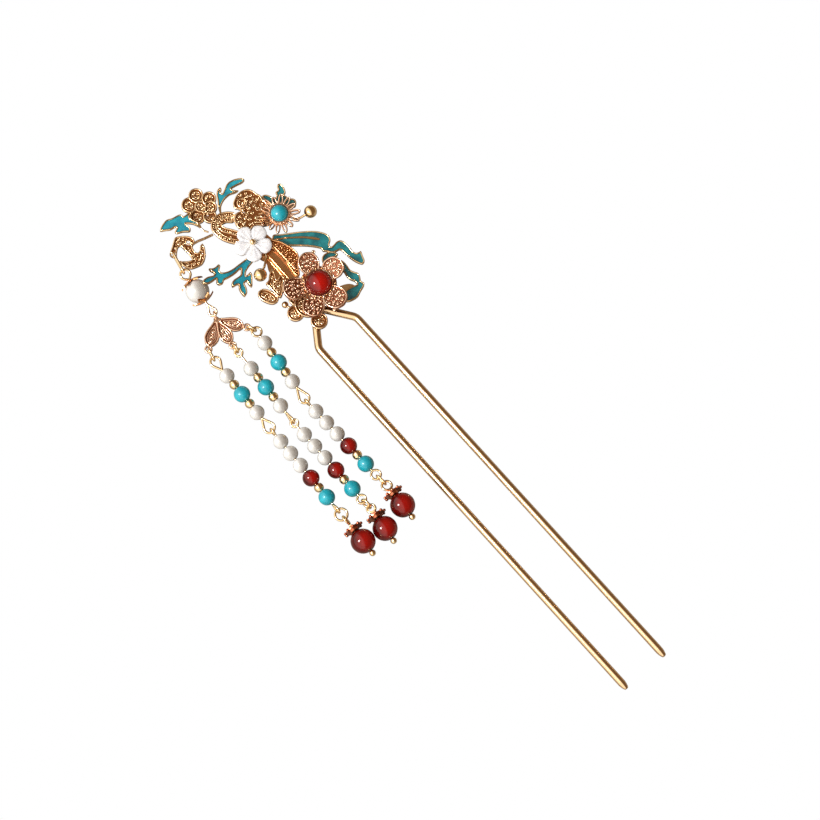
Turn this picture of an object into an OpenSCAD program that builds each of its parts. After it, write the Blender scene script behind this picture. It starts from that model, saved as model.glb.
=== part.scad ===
// Buyao hairpin, lying flat as photographed. Millimetres, Z up, prongs along -Y.
// The head and strings are laid out on a plan whose x and y are the photograph's right and up,
// and the plan is then turned so that the prongs run along -Y.

/* [Hair fork] */
// Diameter of the fork's wire
wire_d = 2.0; // [1.6:0.1:2.2]
// Distance between the two prongs' axes
prong_gap = 12.5; // [11:0.5:14]
// Length of each straight prong, tip included
prong_len = 116.0; // [90:1:130]
// Length of the tapered tip
tip_len = 1.8; // [1:0.1:3]
// Diameter at the blunt end of the tip
tip_d = 1.1; // [0.6:0.1:1.4]

/* [Metalwork] */
// Thickness of a filigree panel
panel_t = 0.45; // [0.35:0.05:0.5]
// Height of the rim wire above its panel
rim_h = 0.35; // [0.2:0.05:0.4]
// Width of a filigree rim
rim_w = 0.38; // [0.3:0.02:0.45]
// Width of an enamel tray's wall
wall_w = 0.3; // [0.24:0.02:0.36]
// Thickness of an enamel tray
tray_t = 0.85; // [0.7:0.05:0.9]
// Depth of the enamel in its tray
enamel_t = 0.45; // [0.3:0.05:0.5]
// Gap between pieces that lie against each other
gap = 0.1; // [0.08:0.01:0.12]

/* [Beads] */
// Diameter of the string pearls
pearl_d = 3.85; // [3.6:0.05:3.9]
// Diameter of the turquoise beads
turquoise_d = 4.2; // [4:0.05:4.3]
// Diameter of the small agate beads
agate_d = 4.3; // [4:0.05:4.4]
// Diameter of the round gold spacers
spacer_d = 2.5; // [2.2:0.1:2.8]
// Length of a spacer along the wire
spacer_len = 1.85; // [1.6:0.05:2]
// Diameter of the end drops
drop_d = 6.3; // [6:0.1:6.6]
// Diameter of the pearl above the fan
large_pearl_d = 6.0; // [5.8:0.1:6.2]
// Diameter of the string wire
string_wire_d = 0.62; // [0.5:0.02:0.66]
// Diameter of the beads' bores
bore_d = 0.96; // [0.9:0.02:1.1]

/* [Stones] */
// Diameter of the red cabochon
red_stone_d = 6.6; // [6.2:0.1:6.8]
// Diameter of the daisy's turquoise cabochon
daisy_stone_d = 4.4; // [4.2:0.1:4.6]
// Radius of the shell flower over its petals
shell_r = 4.9; // [4.6:0.1:5.1]

/* [Hidden] */
$fn = 48;

// The plan is turned clockwise by this angle, then moved so that the box's bottom centre is the origin
plan_turn = 41.25;
frame_x = -5.586;
frame_y = -66.181;

// Heights of the soldered layers, each from its underside
layer_step = tray_t + gap + 0.05;
layer_a = 1.15;
layer_b = wire_d + gap + 0.05;
layer_c = layer_b + layer_step;
layer_d = layer_c + layer_step;

// Outline helpers

// A point on the curve through b and c, with a and d as the neighbours; t runs from 0 at b to 1 at c
function curve_point(a, b, c, d, t) =
    let(m = 0.42 * (c - a), n = 0.42 * (d - b))
    b * (2 * t^3 - 3 * t^2 + 1) + m * (t^3 - 2 * t^2 + t) + c * (3 * t^2 - 2 * t^3) + n * (t^3 - t^2);

// A closed curve through a few points
function closed_curve(p, steps = 4) = [
    for (i = [0 : len(p) - 1])
        for (s = [0 : steps - 1])
            curve_point(p[(i + len(p) - 1) % len(p)], p[i], p[(i + 1) % len(p)], p[(i + 2) % len(p)], s / steps)
];

function ellipse_points(centre, half, turn, count = 28) = [
    for (i = [0 : count - 1])
        let(x = half[0] * cos(i * 360 / count), y = half[1] * sin(i * 360 / count))
        centre + [x * cos(turn) - y * sin(turn), x * sin(turn) + y * cos(turn)]
];

function direction(angle) = [cos(angle), sin(angle)];

module place() {
    translate([-frame_x, -frame_y, 0])
        rotate([0, 0, -plan_turn])
            children();
}

module slab(z, t) {
    translate([0, 0, z])
        linear_extrude(t)
            children();
}

// Shrinks an outline, dropping slivers too thin to work
module inset(by) {
    offset(r = 0.12)
        offset(r = -by - 0.12)
            children();
}

// A tray with a wall all round, from the children's outline
module tray(z) {
    difference() {
        slab(z, tray_t) children();
        slab(z + tray_t - enamel_t, enamel_t + 1) inset(wall_w) children();
    }
}

module tray_filling(z) {
    slab(z + tray_t - enamel_t + 0.04, enamel_t - 0.12)
        inset(wall_w + 0.05)
            children();
}

// A filigree panel inside a raised rim, from the children's outline
module filigree(z) {
    difference() {
        slab(z, panel_t + rim_h) children();
        slab(z + panel_t, rim_h + 1) inset(rim_w) children();
    }
}

// Overlapping round filigree petals, rows of [x, y, radius]; a later row lies over an earlier one
module petal_stack(z, petals) {
    difference() {
        slab(z, panel_t + rim_h)
            for (p = petals)
                translate([p[0], p[1]])
                    circle(p[2]);
        for (i = [0 : len(petals) - 1])
            slab(z + panel_t, rim_h + 1)
                difference() {
                    translate([petals[i][0], petals[i][1]])
                        circle(petals[i][2] - rim_w);
                    for (j = [i + 1 : 1 : len(petals) - 1])
                        translate([petals[j][0], petals[j][1]])
                            circle(petals[j][2]);
                }
    }
}

// Round piercings through a panel, at the listed places
module piercings(z, places, r = 0.3) {
    for (p = places)
        translate([p[0], p[1], z - 1])
            cylinder(h = 4, r = r, $fn = 16);
}

// A straight round wire between two points
module rod(a, b, r) {
    d = b - a;
    l = norm(d);
    translate(a)
        rotate([0, acos(d[2] / l), atan2(d[1], d[0])])
            cylinder(h = l, r = r, $fn = 24);
}

// A bent wire: rods joined by balls a hair fatter than the wire
module bent_wire(points, r) {
    for (i = [0 : len(points) - 2])
        rod(points[i], points[i + 1], r);
    for (p = points)
        translate(p)
            sphere(r * 1.04, $fn = 24);
}

// Hair fork. Its straight and bent stretches stop just short of each other inside a ball at each joint.

fork_x = 2.29;
joint_d = wire_d * 1.015;
joint_trim = 0.04;
fork_z = joint_d / 2;
bend_y = -34.3;
shoulder_angle = 35;
bend_r = 3.0;
apex_r = 2.2;

bend_len = bend_r * tan(shoulder_angle / 2);
apex_len = apex_r / tan(shoulder_angle);
shoulder_len = prong_gap / 2 / sin(shoulder_angle);

module prong(side) {
    r = wire_d / 2;
    end = prong_len - bend_len;
    translate([side * prong_gap / 2, bend_y - bend_len, fork_z])
        rotate([90, 0, 0]) {
            translate([0, 0, joint_trim])
                rotate_extrude()
                    polygon([
                        [0, 0], [r, 0], [r, end - tip_len], [tip_d / 2 + 0.12, end - 0.35],
                        [tip_d / 2 - 0.15, end], [0, end]
                    ]);
            sphere(joint_d / 2);
        }
}

// A bent stretch round the origin, from one angle over another
module wire_arc(r, start, turn) {
    trim = joint_trim / r * 180 / PI;
    rotate([0, 0, start + trim])
        rotate_extrude(angle = turn - 2 * trim)
            translate([r, 0])
                circle(wire_d / 2);
}

module fork_bend(side) {
    translate([side * (prong_gap / 2 - bend_r), bend_y - bend_len, fork_z])
        wire_arc(bend_r, side > 0 ? 0 : 180 - shoulder_angle, shoulder_angle);
}

module fork_shoulder(side) {
    l = shoulder_len - bend_len - apex_len;
    translate([side * prong_gap / 2, bend_y, fork_z])
        rotate([0, 0, side * shoulder_angle])
            translate([0, bend_len, 0])
                rotate([-90, 0, 0]) {
                    sphere(joint_d / 2);
                    translate([0, 0, joint_trim])
                        cylinder(h = l - 2 * joint_trim, r = wire_d / 2);
                    translate([0, 0, l])
                        sphere(joint_d / 2);
                }
}

module fork_apex() {
    apex_y = bend_y + prong_gap / 2 / tan(shoulder_angle);
    translate([0, apex_y - apex_r / sin(shoulder_angle), fork_z])
        wire_arc(apex_r, shoulder_angle, 180 - 2 * shoulder_angle);
}

module hair_fork() {
    color("rosybrown")
        translate([fork_x - frame_x, -frame_y, 0]) {
            for (side = [-1, 1]) {
                prong(side);
                fork_bend(side);
                fork_shoulder(side);
            }
            fork_apex();
        }
}

// Blossom

// Columns: x, y, radius
blossom_petals = [
    [-10.9, 5.9, 1.95], [-13.0, 8.9, 2.05], [-11.4, 11.4, 1.9], [-8.1, 10.6, 1.85],
    [-7.8, 5.9, 1.75], [-7.75, 8.3, 1.75], [-10.2, 8.5, 1.5]
];

module filigree_blossom() {
    color("burlywood")
        place()
            difference() {
                petal_stack(layer_a, blossom_petals);
                piercings(layer_a, [
                    for (p = blossom_petals)
                        each [[p[0] + 0.6, p[1] - 0.5], [p[0] - 0.6, p[1] + 0.5]]
                ]);
            }
}

// Enamelled leaves

top_leaf_outline = closed_curve([
    [-5.25, 6.6], [-5.75, 8.2], [-5.9, 9.9], [-6.2, 11.6], [-6.0, 12.8], [-5.3, 13.5], [-4.95, 12.9],
    [-5.2, 12.2], [-4.7, 11.9], [-4.2, 13.0], [-3.8, 14.1], [-3.0, 15.0], [-1.7, 15.65], [0, 15.95],
    [0.8, 15.5], [0.2, 14.7], [-1.4, 13.9], [-2.6, 13.1], [-1.8, 12.8], [-0.7, 12.7], [-1.4, 12.1],
    [-3.0, 11.5], [-4.3, 10.2], [-5.0, 8.6], [-4.95, 6.8]
]);

module top_leaf() {
    color("goldenrod")
        place()
            tray(layer_a)
                polygon(top_leaf_outline);
}

module top_leaf_enamel() {
    color("teal")
        place()
            tray_filling(layer_a)
                polygon(top_leaf_outline);
}

left_leaf_outline = closed_curve([
    [-20.3, 1.75], [-19.9, 3.1], [-18.8, 4.6], [-17.3, 5.1], [-16, 5.85], [-15.1, 6.1], [-14.45, 5.6],
    [-13.6, 6.2], [-13.1, 6.8], [-12.3, 6.8], [-12.6, 6.0], [-13.0, 5.4], [-12.2, 4.75], [-11.1, 4.2],
    [-10.1, 3.3], [-9.9, 2.5], [-10.9, 3.05], [-12.2, 3.6], [-13.9, 3.7], [-13.2, 3.1], [-12.6, 2.3],
    [-12.9, 1.6], [-14.6, 1.5], [-16, 1.1], [-16.6, 1.5], [-16.1, 2.5], [-16.6, 2.75], [-17.6, 2.1],
    [-18.9, 1.9]
]);
left_leaf_stem = [[-10.5, 3.0], [-9.3, 2.0], [-8.3, 1.65]];

module left_leaf() {
    z = layer_b + 0.35;
    color("goldenrod")
        place() {
            tray(layer_b)
                polygon(left_leaf_outline);
            bent_wire([for (p = left_leaf_stem) [p[0], p[1], z]], 0.22);
        }
}

module left_leaf_enamel() {
    color("teal")
        place()
            tray_filling(layer_b)
                polygon(left_leaf_outline);
}

back_leaf_outline = closed_curve([
    [9.3, 14.1], [10.0, 14.1], [10.7, 13.3], [11.2, 11.9], [10.8, 11.2], [11.4, 10.9], [12.0, 10.0],
    [12.6, 10.3], [13.5, 10.1], [13.9, 9.2], [13.6, 8.1], [12.4, 8.0], [11.2, 6.9], [8.6, 6.9],
    [7.6, 8.9], [6.2, 9.7], [5.1, 10.8], [6.2, 11.3], [7.4, 10.9], [8.2, 10.3], [9.0, 11.0],
    [8.65, 11.9], [9.35, 12.5], [9.05, 13.4]
]);

module back_leaf() {
    color("goldenrod")
        place()
            tray(layer_b)
                polygon(back_leaf_outline);
}

module back_leaf_enamel() {
    color("darkslategray")
        place()
            tray_filling(layer_b)
                polygon(back_leaf_outline);
}

// The sprig rises from its root so that its left leaf passes over the large pearl

sprig_root = [2.3, -5.2];
sprig_heading = 212;
sprig_rise = 12;
sprig_stems = closed_curve([
    [2.6, -4.6], [1.0, -6.2], [-0.4, -7.4], [-2.1, -8.9], [-3.6, -9.8], [-5.0, -10.1], [-5.6, -9.5],
    [-5.3, -8.4], [-5.8, -7.9], [-6.4, -8.6], [-7.2, -9.1], [-8.2, -9.2], [-7.6, -9.9], [-6.9, -10.2],
    [-7.0, -11.0], [-8.5, -11.5], [-9.6, -12.4], [-9.7, -13.2], [-8.4, -13.3], [-7.1, -12.5], [-6.3, -11.8],
    [-6.2, -12.8], [-5.6, -13.4], [-4.6, -13.0], [-4.3, -12.0], [-3.1, -11.3], [-1.5, -10.1], [-0.1, -8.7],
    [-0.1, -10.2], [-0.6, -10.9], [-1.8, -11.8], [-2.4, -12.8], [-2.1, -13.8], [-1.2, -13.2], [-0.6, -13.1],
    [-0.5, -14.2], [0.1, -15.3], [0.9, -16.1], [1.5, -15.2], [1.3, -13.8], [0.8, -12.75], [1.4, -12.0],
    [2.1, -13.0], [2.8, -13.4], [2.8, -12.0], [2.75, -10.2], [2.3, -9.5], [1.7, -10.2], [1.2, -10.6],
    [1.2, -9.6], [2.0, -8.0], [3.2, -6.3], [3.3, -5.0]
], 3);

module raise_sprig() {
    translate([sprig_root[0], sprig_root[1], layer_c])
        rotate([0, 0, sprig_heading])
            rotate([0, -sprig_rise, 0])
                rotate([0, 0, -sprig_heading])
                    translate([-sprig_root[0], -sprig_root[1], 0])
                        children();
}

module sprig() {
    color("goldenrod")
        place()
            raise_sprig()
                tray(0)
                    polygon(sprig_stems);
}

module sprig_enamel() {
    color("teal")
        place()
            raise_sprig()
                tray_filling(0)
                    polygon(sprig_stems);
}

// Filigree horseshoe, open to the right

loop_outer = closed_curve([
    [-1.3, 5.9], [-1.9, 6.75], [-3.5, 6.9], [-5.2, 6.55], [-6.5, 5.6], [-7.3, 4.3], [-7.6, 3.0],
    [-7.1, 1.7], [-6.1, 0.5], [-4.8, -0.5], [-3.2, -1.2], [-1.5, -1.6], [0.4, -1.7], [1.6, -0.6],
    [1.2, 0.9], [-0.4, 1.7], [-2.2, 2.3], [-3.8, 2.7], [-4.7, 3.4], [-3.6, 4.0], [-1.9, 4.1]
]);

module filigree_loop() {
    color("burlywood")
        place()
            difference() {
                filigree(layer_b)
                    polygon(loop_outer);
                piercings(layer_b, [
                    for (i = [0 : 8])
                        [-2.9, 2.7] + [3.1 * cos(75 + i * 25), 2.75 * sin(75 + i * 25)]
                ]);
            }
}

// Anchor-shaped plaque with the wire that carries it

hook_outline = closed_curve([
    [-16.3, 0.2], [-14.8, 0.5], [-13.2, 0.45], [-12.0, -0.1], [-11.5, -1.2], [-12.1, -2.3], [-11.5, -3.6],
    [-10.8, -3.9], [-10.3, -3.3], [-10.2, -2.2], [-9.6, -1.5], [-9.0, -2.6], [-8.75, -4.2], [-9.0, -5.8],
    [-9.7, -7.0], [-11.0, -7.7], [-12.5, -8.15], [-14.0, -7.6], [-15.1, -6.7], [-14.6, -6.15],
    [-13.4, -6.1], [-12.2, -5.7], [-12.9, -4.4], [-14.1, -3.2], [-15.1, -2.2], [-15.7, -2.6],
    [-15.95, -3.6], [-16.1, -4.95], [-17.05, -5.15], [-17.85, -4.4], [-17.3, -2.4], [-16.8, -0.5]
]);
hook_hole = [-13.2, -1.2];
hook_arm = [[-7.25, 0.82], [-9.2, -0.15], [-10.8, -0.8], [-12.3, -1.75]];
hook_eye = [-16.85, -4.25];
hook_piercings = [
    [-15.6, -0.4], [-15.5, -1.5], [-16.4, -2.7], [-14.1, -2.6], [-12.9, -3.3], [-11.9, -4.6],
    [-9.75, -4.2], [-10.3, -5.6], [-11.6, -6.8], [-13.2, -7.0]
];

module hook_plaque() {
    z = layer_b + panel_t;
    color("burlywood")
        place() {
            difference() {
                filigree(layer_b)
                    polygon(hook_outline);
                slab(layer_b - 1, 4)
                    polygon(ellipse_points(hook_hole, [0.85, 0.65], 160, 20));
                piercings(layer_b, hook_piercings);
                piercings(layer_b, [hook_eye], 0.6);
            }
            bent_wire([for (p = hook_arm) [p[0], p[1], z]], 0.34);
        }
}

// Butterfly wing

wing_outline = closed_curve([
    [-2.0, 8.6], [-1.3, 10.6], [0.1, 12.0], [1.7, 12.5], [2.9, 12.1], [4.0, 11.3], [4.9, 10.8], [5.6, 9.6],
    [6.6, 9.0], [7.6, 8.2], [8.2, 6.5], [8.2, 4.4], [7.3, 3.2], [5.6, 2.7], [3.9, 2.9], [2.9, 2.3],
    [2.3, 1.3], [1.2, 2.5], [-0.2, 2.0], [-1.4, 3.4], [-1.7, 4.9], [-1.1, 6.2], [0.2, 6.9], [-1.4, 7.3]
]);
wing_eye = [0.3, 8.8];
wing_lobe = [0.2, 4.4];

module wing_ring(centre, r) {
    translate([centre[0], centre[1], layer_c + 0.1])
        difference() {
            cylinder(h = panel_t + rim_h - 0.1, r = r, $fn = 32);
            cylinder(h = 3, r = r - rim_w, $fn = 32);
        }
}

module butterfly_wing() {
    color("burlywood")
        place() {
            difference() {
                filigree(layer_c)
                    polygon(wing_outline);
                piercings(layer_c, [for (i = [0 : 7]) wing_eye + 2.2 * direction(i * 45 + 10)], 0.28);
                piercings(layer_c, [for (i = [0 : 3]) wing_lobe + 1.1 * direction(i * 90 + 30)], 0.28);
            }
            wing_ring(wing_eye, 1.35);
            // Ribs of the part that fans out towards the daisy
            for (i = [0 : 4])
                rod([3.4 + 0.35 * i, 3.8 + 0.75 * i, layer_c + panel_t],
                    [7.3, 3.7 + 1.0 * i, layer_c + panel_t], 0.2);
        }
}

// Daisy with wire-loop petals round a turquoise

daisy_centre = [9.7, 5.7];
daisy_petals = 14;
daisy_reach = 5.0;
daisy_base_t = 0.7;
daisy_bezel_h = 1.5;
daisy_bezel_w = 0.35;

module daisy_petal(i) {
    reach = daisy_reach + 0.35 * cos(i * 137);
    rotate([0, 0, i * 360 / daisy_petals + 8])
        difference() {
            linear_extrude(0.6)
                polygon(ellipse_points([reach / 2 + 0.9, 0], [reach / 2 - 0.9, 0.62], 0, 20));
            translate([0, 0, -1])
                linear_extrude(3)
                    polygon(ellipse_points([reach / 2 + 1.3, 0], [reach / 2 - 1.6, 0.25], 0, 12));
        }
}

module daisy() {
    color("sandybrown")
        place()
            translate([daisy_centre[0], daisy_centre[1], layer_d])
                difference() {
                    union() {
                        cylinder(h = daisy_base_t, r = 2.5);
                        cylinder(h = daisy_bezel_h, r = daisy_stone_d / 2 + daisy_bezel_w);
                        for (i = [0 : daisy_petals - 1])
                            daisy_petal(i);
                    }
                    translate([0, 0, daisy_base_t])
                        cylinder(h = 3, r = daisy_stone_d / 2 + 0.05);
                }
}

module daisy_stone() {
    color("darkturquoise")
        place()
            translate([daisy_centre[0], daisy_centre[1], layer_d + daisy_base_t + 0.05])
                intersection() {
                    translate([0, 0, 0.3])
                        sphere(daisy_stone_d / 2);
                    cylinder(h = 4, r = 3);
                }
}

// Stamens: a ball on a wire that ends part of the way into it

stamen_wire_r = 0.3;

module stamen(stalk, ball, r) {
    neck = stalk[len(stalk) - 1];
    bent_wire(stalk, stamen_wire_r);
    rod(neck, neck + (1 - 0.6 * r / norm(ball - neck)) * (ball - neck), stamen_wire_r);
    translate(ball)
        sphere(r);
}

module stamen_right() {
    color("goldenrod")
        place()
            stamen([[13.0, 4.6, layer_c + 0.4], [14.9, 5.0, layer_c + 0.5]], [17.5, 6.5, layer_c + 1.0], 1.62);
}

module stamen_lower() {
    color("goldenrod")
        place()
            stamen([[6.2, -3.6, layer_c + 0.45], [6.5, -5.4, layer_c + 0.6], [6.0, -8.0, layer_c + 1.4]],
                   [5.0, -10.2, layer_c + 1.5], 1.68);
}

// Carved shell flower and its pin

shell_centre = [3.05, -1.95];
shell_t = 1.3;

function shell_outline() = [
    for (a = [0 : 6 : 354])
        let(k = cos(5 * (a - 60)), notch = pow(max(0, -k), 6))
        (shell_r * (0.93 + 0.07 * k) - 0.75 * notch) * direction(a)
];

module shell_flower() {
    color("whitesmoke")
        place()
            translate([shell_centre[0], shell_centre[1], layer_d + 0.15])
                difference() {
                    linear_extrude(shell_t)
                        polygon(shell_outline());
                    translate([0, 0, -1])
                        cylinder(h = 4, r = 0.42, $fn = 24);
                    translate([0, 0, shell_t + 5.6])
                        sphere(6);
                }
}

module shell_pin() {
    z = layer_d + 0.15;
    color("goldenrod")
        place()
            translate([shell_centre[0], shell_centre[1], z]) {
                translate([0, 0, -0.6])
                    cylinder(h = shell_t + 0.6, r = 0.3, $fn = 24);
                translate([0, 0, shell_t + 0.42])
                    sphere(0.75);
            }
}

// Ribbons

long_ribbon_upper = closed_curve([
    [8.0, 0.9], [10.0, 1.2], [12.6, 1.6], [15, 1.9], [17.3, 2.05], [19.0, 2.0], [20.8, 1.6], [22.0, 0.9],
    [22.5, -0.3], [22.2, -1.5], [22.7, -2.1], [23.3, -1.6], [24, -0.8], [25, -0.35], [26, -0.85],
    [27.25, -2.1], [28.2, -3.3], [29, -3.7], [29.7, -3.45], [30.2, -3.2], [30.6, -4.4], [31.1, -5.7],
    [30.7, -6.5], [30.0, -6.5], [28.7, -5.9], [27.25, -4.85], [26, -3.6], [24.9, -2.8], [23.8, -3.4],
    [22.8, -3.6], [21.6, -3.3], [20.6, -3.2], [20.2, -2.5], [18.5, -2.1], [16.5, -1.85], [14.1, -1.8],
    [11.9, -1.85], [10, -2.1], [8.0, -2.4]
]);
long_ribbon_curl = closed_curve([
    [22.2, -3.4], [21.0, -4.0], [20.4, -4.9], [20.5, -6.0], [21.1, -6.4], [22.0, -5.7], [22.9, -5.0],
    [24.0, -4.6], [24.4, -3.9], [23.5, -3.5]
]);
// Wall between the ribbon's two bands
long_ribbon_wall = [
    [8.2, -0.4], [12, 0.15], [16, 0.2], [19.7, -0.3], [19.8, 0.1], [18, 0.55], [15, 0.65], [11, 0.4], [8.2, -0.1]
];
// Room between a wall inside a tray and its enamel
wall_room = 0.06;

module long_ribbon() {
    color("goldenrod")
        place() {
            tray(layer_a)
                polygon(long_ribbon_upper);
            tray(layer_a)
                polygon(long_ribbon_curl);
            slab(layer_a, tray_t)
                polygon(long_ribbon_wall);
        }
}

module long_ribbon_enamel() {
    color("darkslategray")
        place()
            difference() {
                union() {
                    tray_filling(layer_a)
                        polygon(long_ribbon_upper);
                    tray_filling(layer_a)
                        polygon(long_ribbon_curl);
                }
                slab(layer_a, tray_t + 1)
                    offset(delta = wall_room)
                        polygon(long_ribbon_wall);
            }
}

short_ribbon_outline = closed_curve([
    [22.6, -7.2], [23.6, -5.9], [25.1, -5.55], [26, -6.1], [26.8, -7.1], [27.5, -8.1], [28.5, -8.6],
    [29.4, -8.9], [29.95, -9.8], [30.2, -11.0], [31, -11.5], [30.9, -12.4], [30.2, -13.6], [29.5, -15.0],
    [28.3, -15.9], [26.8, -16.4], [25.6, -15.6], [26.2, -13.7], [27.7, -12.6], [29.2, -11.9], [28.6, -11.1],
    [27.6, -10.7], [26.6, -9.8], [25.8, -8.6], [24.8, -8.2]
]);
short_ribbon_fold = closed_curve([
    [23.4, -12.9], [24.6, -12.5], [26, -11.95], [27.4, -11.75], [28.6, -12.2], [27.2, -13.1], [25.8, -13.7],
    [24.4, -13.9]
]);

module short_ribbon() {
    color("goldenrod")
        place() {
            tray(layer_a)
                polygon(short_ribbon_outline);
            slab(layer_a, tray_t)
                polygon(short_ribbon_fold);
        }
}

module short_ribbon_enamel() {
    color("darkslategray")
        place()
            difference() {
                tray_filling(layer_a)
                    polygon(short_ribbon_outline);
                slab(layer_a, tray_t + 1)
                    offset(delta = wall_room)
                        polygon(short_ribbon_fold);
            }
}

// Filigree feather above the gold leaf

feather_outline = closed_curve([
    [6.6, -0.6], [8.4, -0.8], [10.2, -1.3], [11.7, -2.1], [13.1, -3.0], [14.3, -4.2], [14.7, -5.6],
    [14.6, -7.6], [14.9, -9.6], [14.3, -10.6], [13.3, -9.5], [12.4, -8.2], [11.4, -6.8], [10.0, -5.1],
    [8.2, -3.3], [6.4, -2.2]
]);

module filigree_feather() {
    color("peru")
        place() {
            difference() {
                filigree(layer_c)
                    polygon(feather_outline);
                piercings(layer_c, [for (i = [0 : 6]) [8.6 + 0.85 * i, -2.2 - 0.95 * i]], 0.26);
            }
            rod([7.4, -1.6, layer_c + panel_t], [13.9, -8.6, layer_c + panel_t], 0.22);
        }
}

// Smooth gold leaf, which runs on under the shell flower and carries the head

gold_leaf_outline = closed_curve([
    [4.0, 2.4], [6.2, 1.2], [8.6, -1.0], [11.0, -4.0], [13.2, -7.6], [14.6, -11.4], [13.6, -12.6],
    [11.8, -11.6], [9.9, -11.2], [8.2, -10.2], [7.0, -8.4], [6.4, -6.4], [5.0, -5.6], [3.6, -4.0],
    [3.3, -1.0]
]);

module gold_leaf() {
    z = layer_b + tray_t - 0.12;
    color("peru")
        place() {
            slab(layer_b, tray_t - 0.1)
                polygon(gold_leaf_outline);
            rod([6.5, -4.1, z], [12.0, -10.5, z], 0.3);
            rod([7.0, -5.7, z], [11.4, -10.9, z], 0.24);
        }
}

// Small butterfly beside the red flower

small_wing_outline = closed_curve([
    [7.9, -8.4], [8.6, -9.5], [9.1, -11.2], [9.8, -10.4], [10.4, -10.0], [11.1, -10.9], [10.7, -12.4],
    [10.8, -14], [10.2, -15.9], [8.9, -15.2], [7.4, -13.4], [6.4, -12.3], [7.0, -11.4], [7.2, -9.8]
]);
small_cup_outline = closed_curve([
    [4.5, -14.4], [5.6, -13.6], [7.0, -13.8], [8.3, -14.6], [9.6, -15.8], [9.3, -17.0], [8.3, -17.6],
    [6.9, -17.4], [5.4, -16.6], [4.5, -15.5]
]);

module small_butterfly() {
    color("burlywood")
        place()
            difference() {
                union() {
                    filigree(layer_c)
                        polygon(small_wing_outline);
                    filigree(layer_c)
                        polygon(small_cup_outline);
                }
                piercings(layer_c, [[7.9, -10.6], [8.0, -12.4], [9.6, -12.8], [7.4, -15.6], [8.3, -16.4]], 0.26);
            }
}

// Red flower

red_centre = [19.6, -12.5];
// The disc that carries the petals, and the foot under it
red_base_r = 4.6;
red_base_t = 0.6;
red_foot_r = 2.5;
red_foot_t = 0.8;
// Tilt of the petals
red_lift = 10;
bezel_r = red_stone_d / 2 + 0.45;
bezel_h = 1.5;
granule_r = 0.42;
// Columns: direction, distance of the petal's widest place, half its width
red_petals = [
    [116, 6.0, 2.7], [47, 5.5, 2.8], [-42, 5.9, 3.05], [-101, 6.5, 2.9], [-165, 6.4, 3.0]
];
red_granules = 16;

function red_petal_points(far, half) = closed_curve([
    for (q = [[0.4 * far, 0.45], [0.7 * far, 0.84], [far, 1], [far + 0.7 * half, 0.74], [far + half, 0],
              [far + 0.7 * half, -0.74], [far, -1], [0.7 * far, -0.84], [0.4 * far, -0.45]])
        [q[0], q[1] * half]
], 3);

module red_petal(p) {
    rotate([0, 0, p[0]])
        rotate([0, -red_lift, 0])
            difference() {
                filigree(0)
                    polygon(red_petal_points(p[1], p[2]));
                for (k = [-1 : 1])
                    translate([p[1] + 0.5, k * 1.1, -1])
                        cylinder(h = 4, r = 0.28, $fn = 16);
            }
}

module red_flower() {
    color("burlywood")
        place()
            translate([red_centre[0], red_centre[1], layer_d])
                difference() {
                    union() {
                        cylinder(h = red_base_t, r = red_base_r);
                        translate([0, 0, -red_foot_t])
                            cylinder(h = red_foot_t + 0.2, r = red_foot_r);
                        cylinder(h = bezel_h, r = bezel_r);
                        for (p = red_petals)
                            red_petal(p);
                        for (i = [0 : red_granules - 1])
                            rotate([0, 0, i * 360 / red_granules])
                                translate([bezel_r + granule_r, 0, red_base_t + 0.66 * granule_r])
                                    sphere(granule_r, $fn = 20);
                    }
                    translate([0, 0, red_base_t])
                        cylinder(h = 10, r = red_stone_d / 2 + 0.06);
                }
}

module red_stone() {
    color("firebrick")
        place()
            translate([red_centre[0], red_centre[1], layer_d + red_base_t + 0.06])
                intersection() {
                    translate([0, 0, 0.5])
                        sphere(red_stone_d / 2);
                    cylinder(h = 8, r = 4);
                }
}

// Columns: x, y, radius
under_petals = [
    [20.6, -13.6, 2.1], [16.6, -12.6, 2.1], [14.1, -15.6, 2.1], [19.8, -21.6, 2.15], [13.9, -19.6, 2.15],
    [17.1, -17.2, 3.5]
];

module under_flower() {
    color("burlywood")
        place() {
            difference() {
                petal_stack(layer_b, under_petals);
                piercings(layer_b, [
                    for (p = [under_petals[3], under_petals[4]])
                        for (k = [-1, 0, 1])
                            [p[0] + 0.7 * k, p[1] - 0.5]
                ], 0.26);
            }
            rod([12.6, -18.3, layer_b + 0.45], [11.2, -17.4, layer_b + 0.45], 0.3);
            translate([11.2, -17.4, layer_b + 0.45])
                sphere(0.85, $fn = 32);
        }
}

// Loops, pins and strings

wire_r = string_wire_d / 2;
// How far the wires of two linked loops reach past each other
link_overlap = string_wire_d + 0.18;

loop_trim = 0.02;
loop_ball_r = wire_r * 1.03;

// A bent stretch of string wire round the origin
module thin_arc(r, start, turn) {
    trim = loop_trim / r * 180 / PI;
    rotate([0, 0, start + trim])
        rotate_extrude(angle = turn - 2 * trim)
            translate([r, 0])
                circle(wire_r, $fn = 20);
}

module thin_ring(r) {
    rotate_extrude()
        translate([r, 0])
            circle(wire_r, $fn = 20);
}

// A straight stretch along +X from a ball to a ball
module thin_side(l) {
    rotate([0, 90, 0]) {
        sphere(loop_ball_r, $fn = 20);
        translate([0, 0, loop_trim])
            cylinder(h = l - 2 * loop_trim, r = wire_r, $fn = 20);
        translate([0, 0, l])
            sphere(loop_ball_r, $fn = 20);
    }
}

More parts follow.
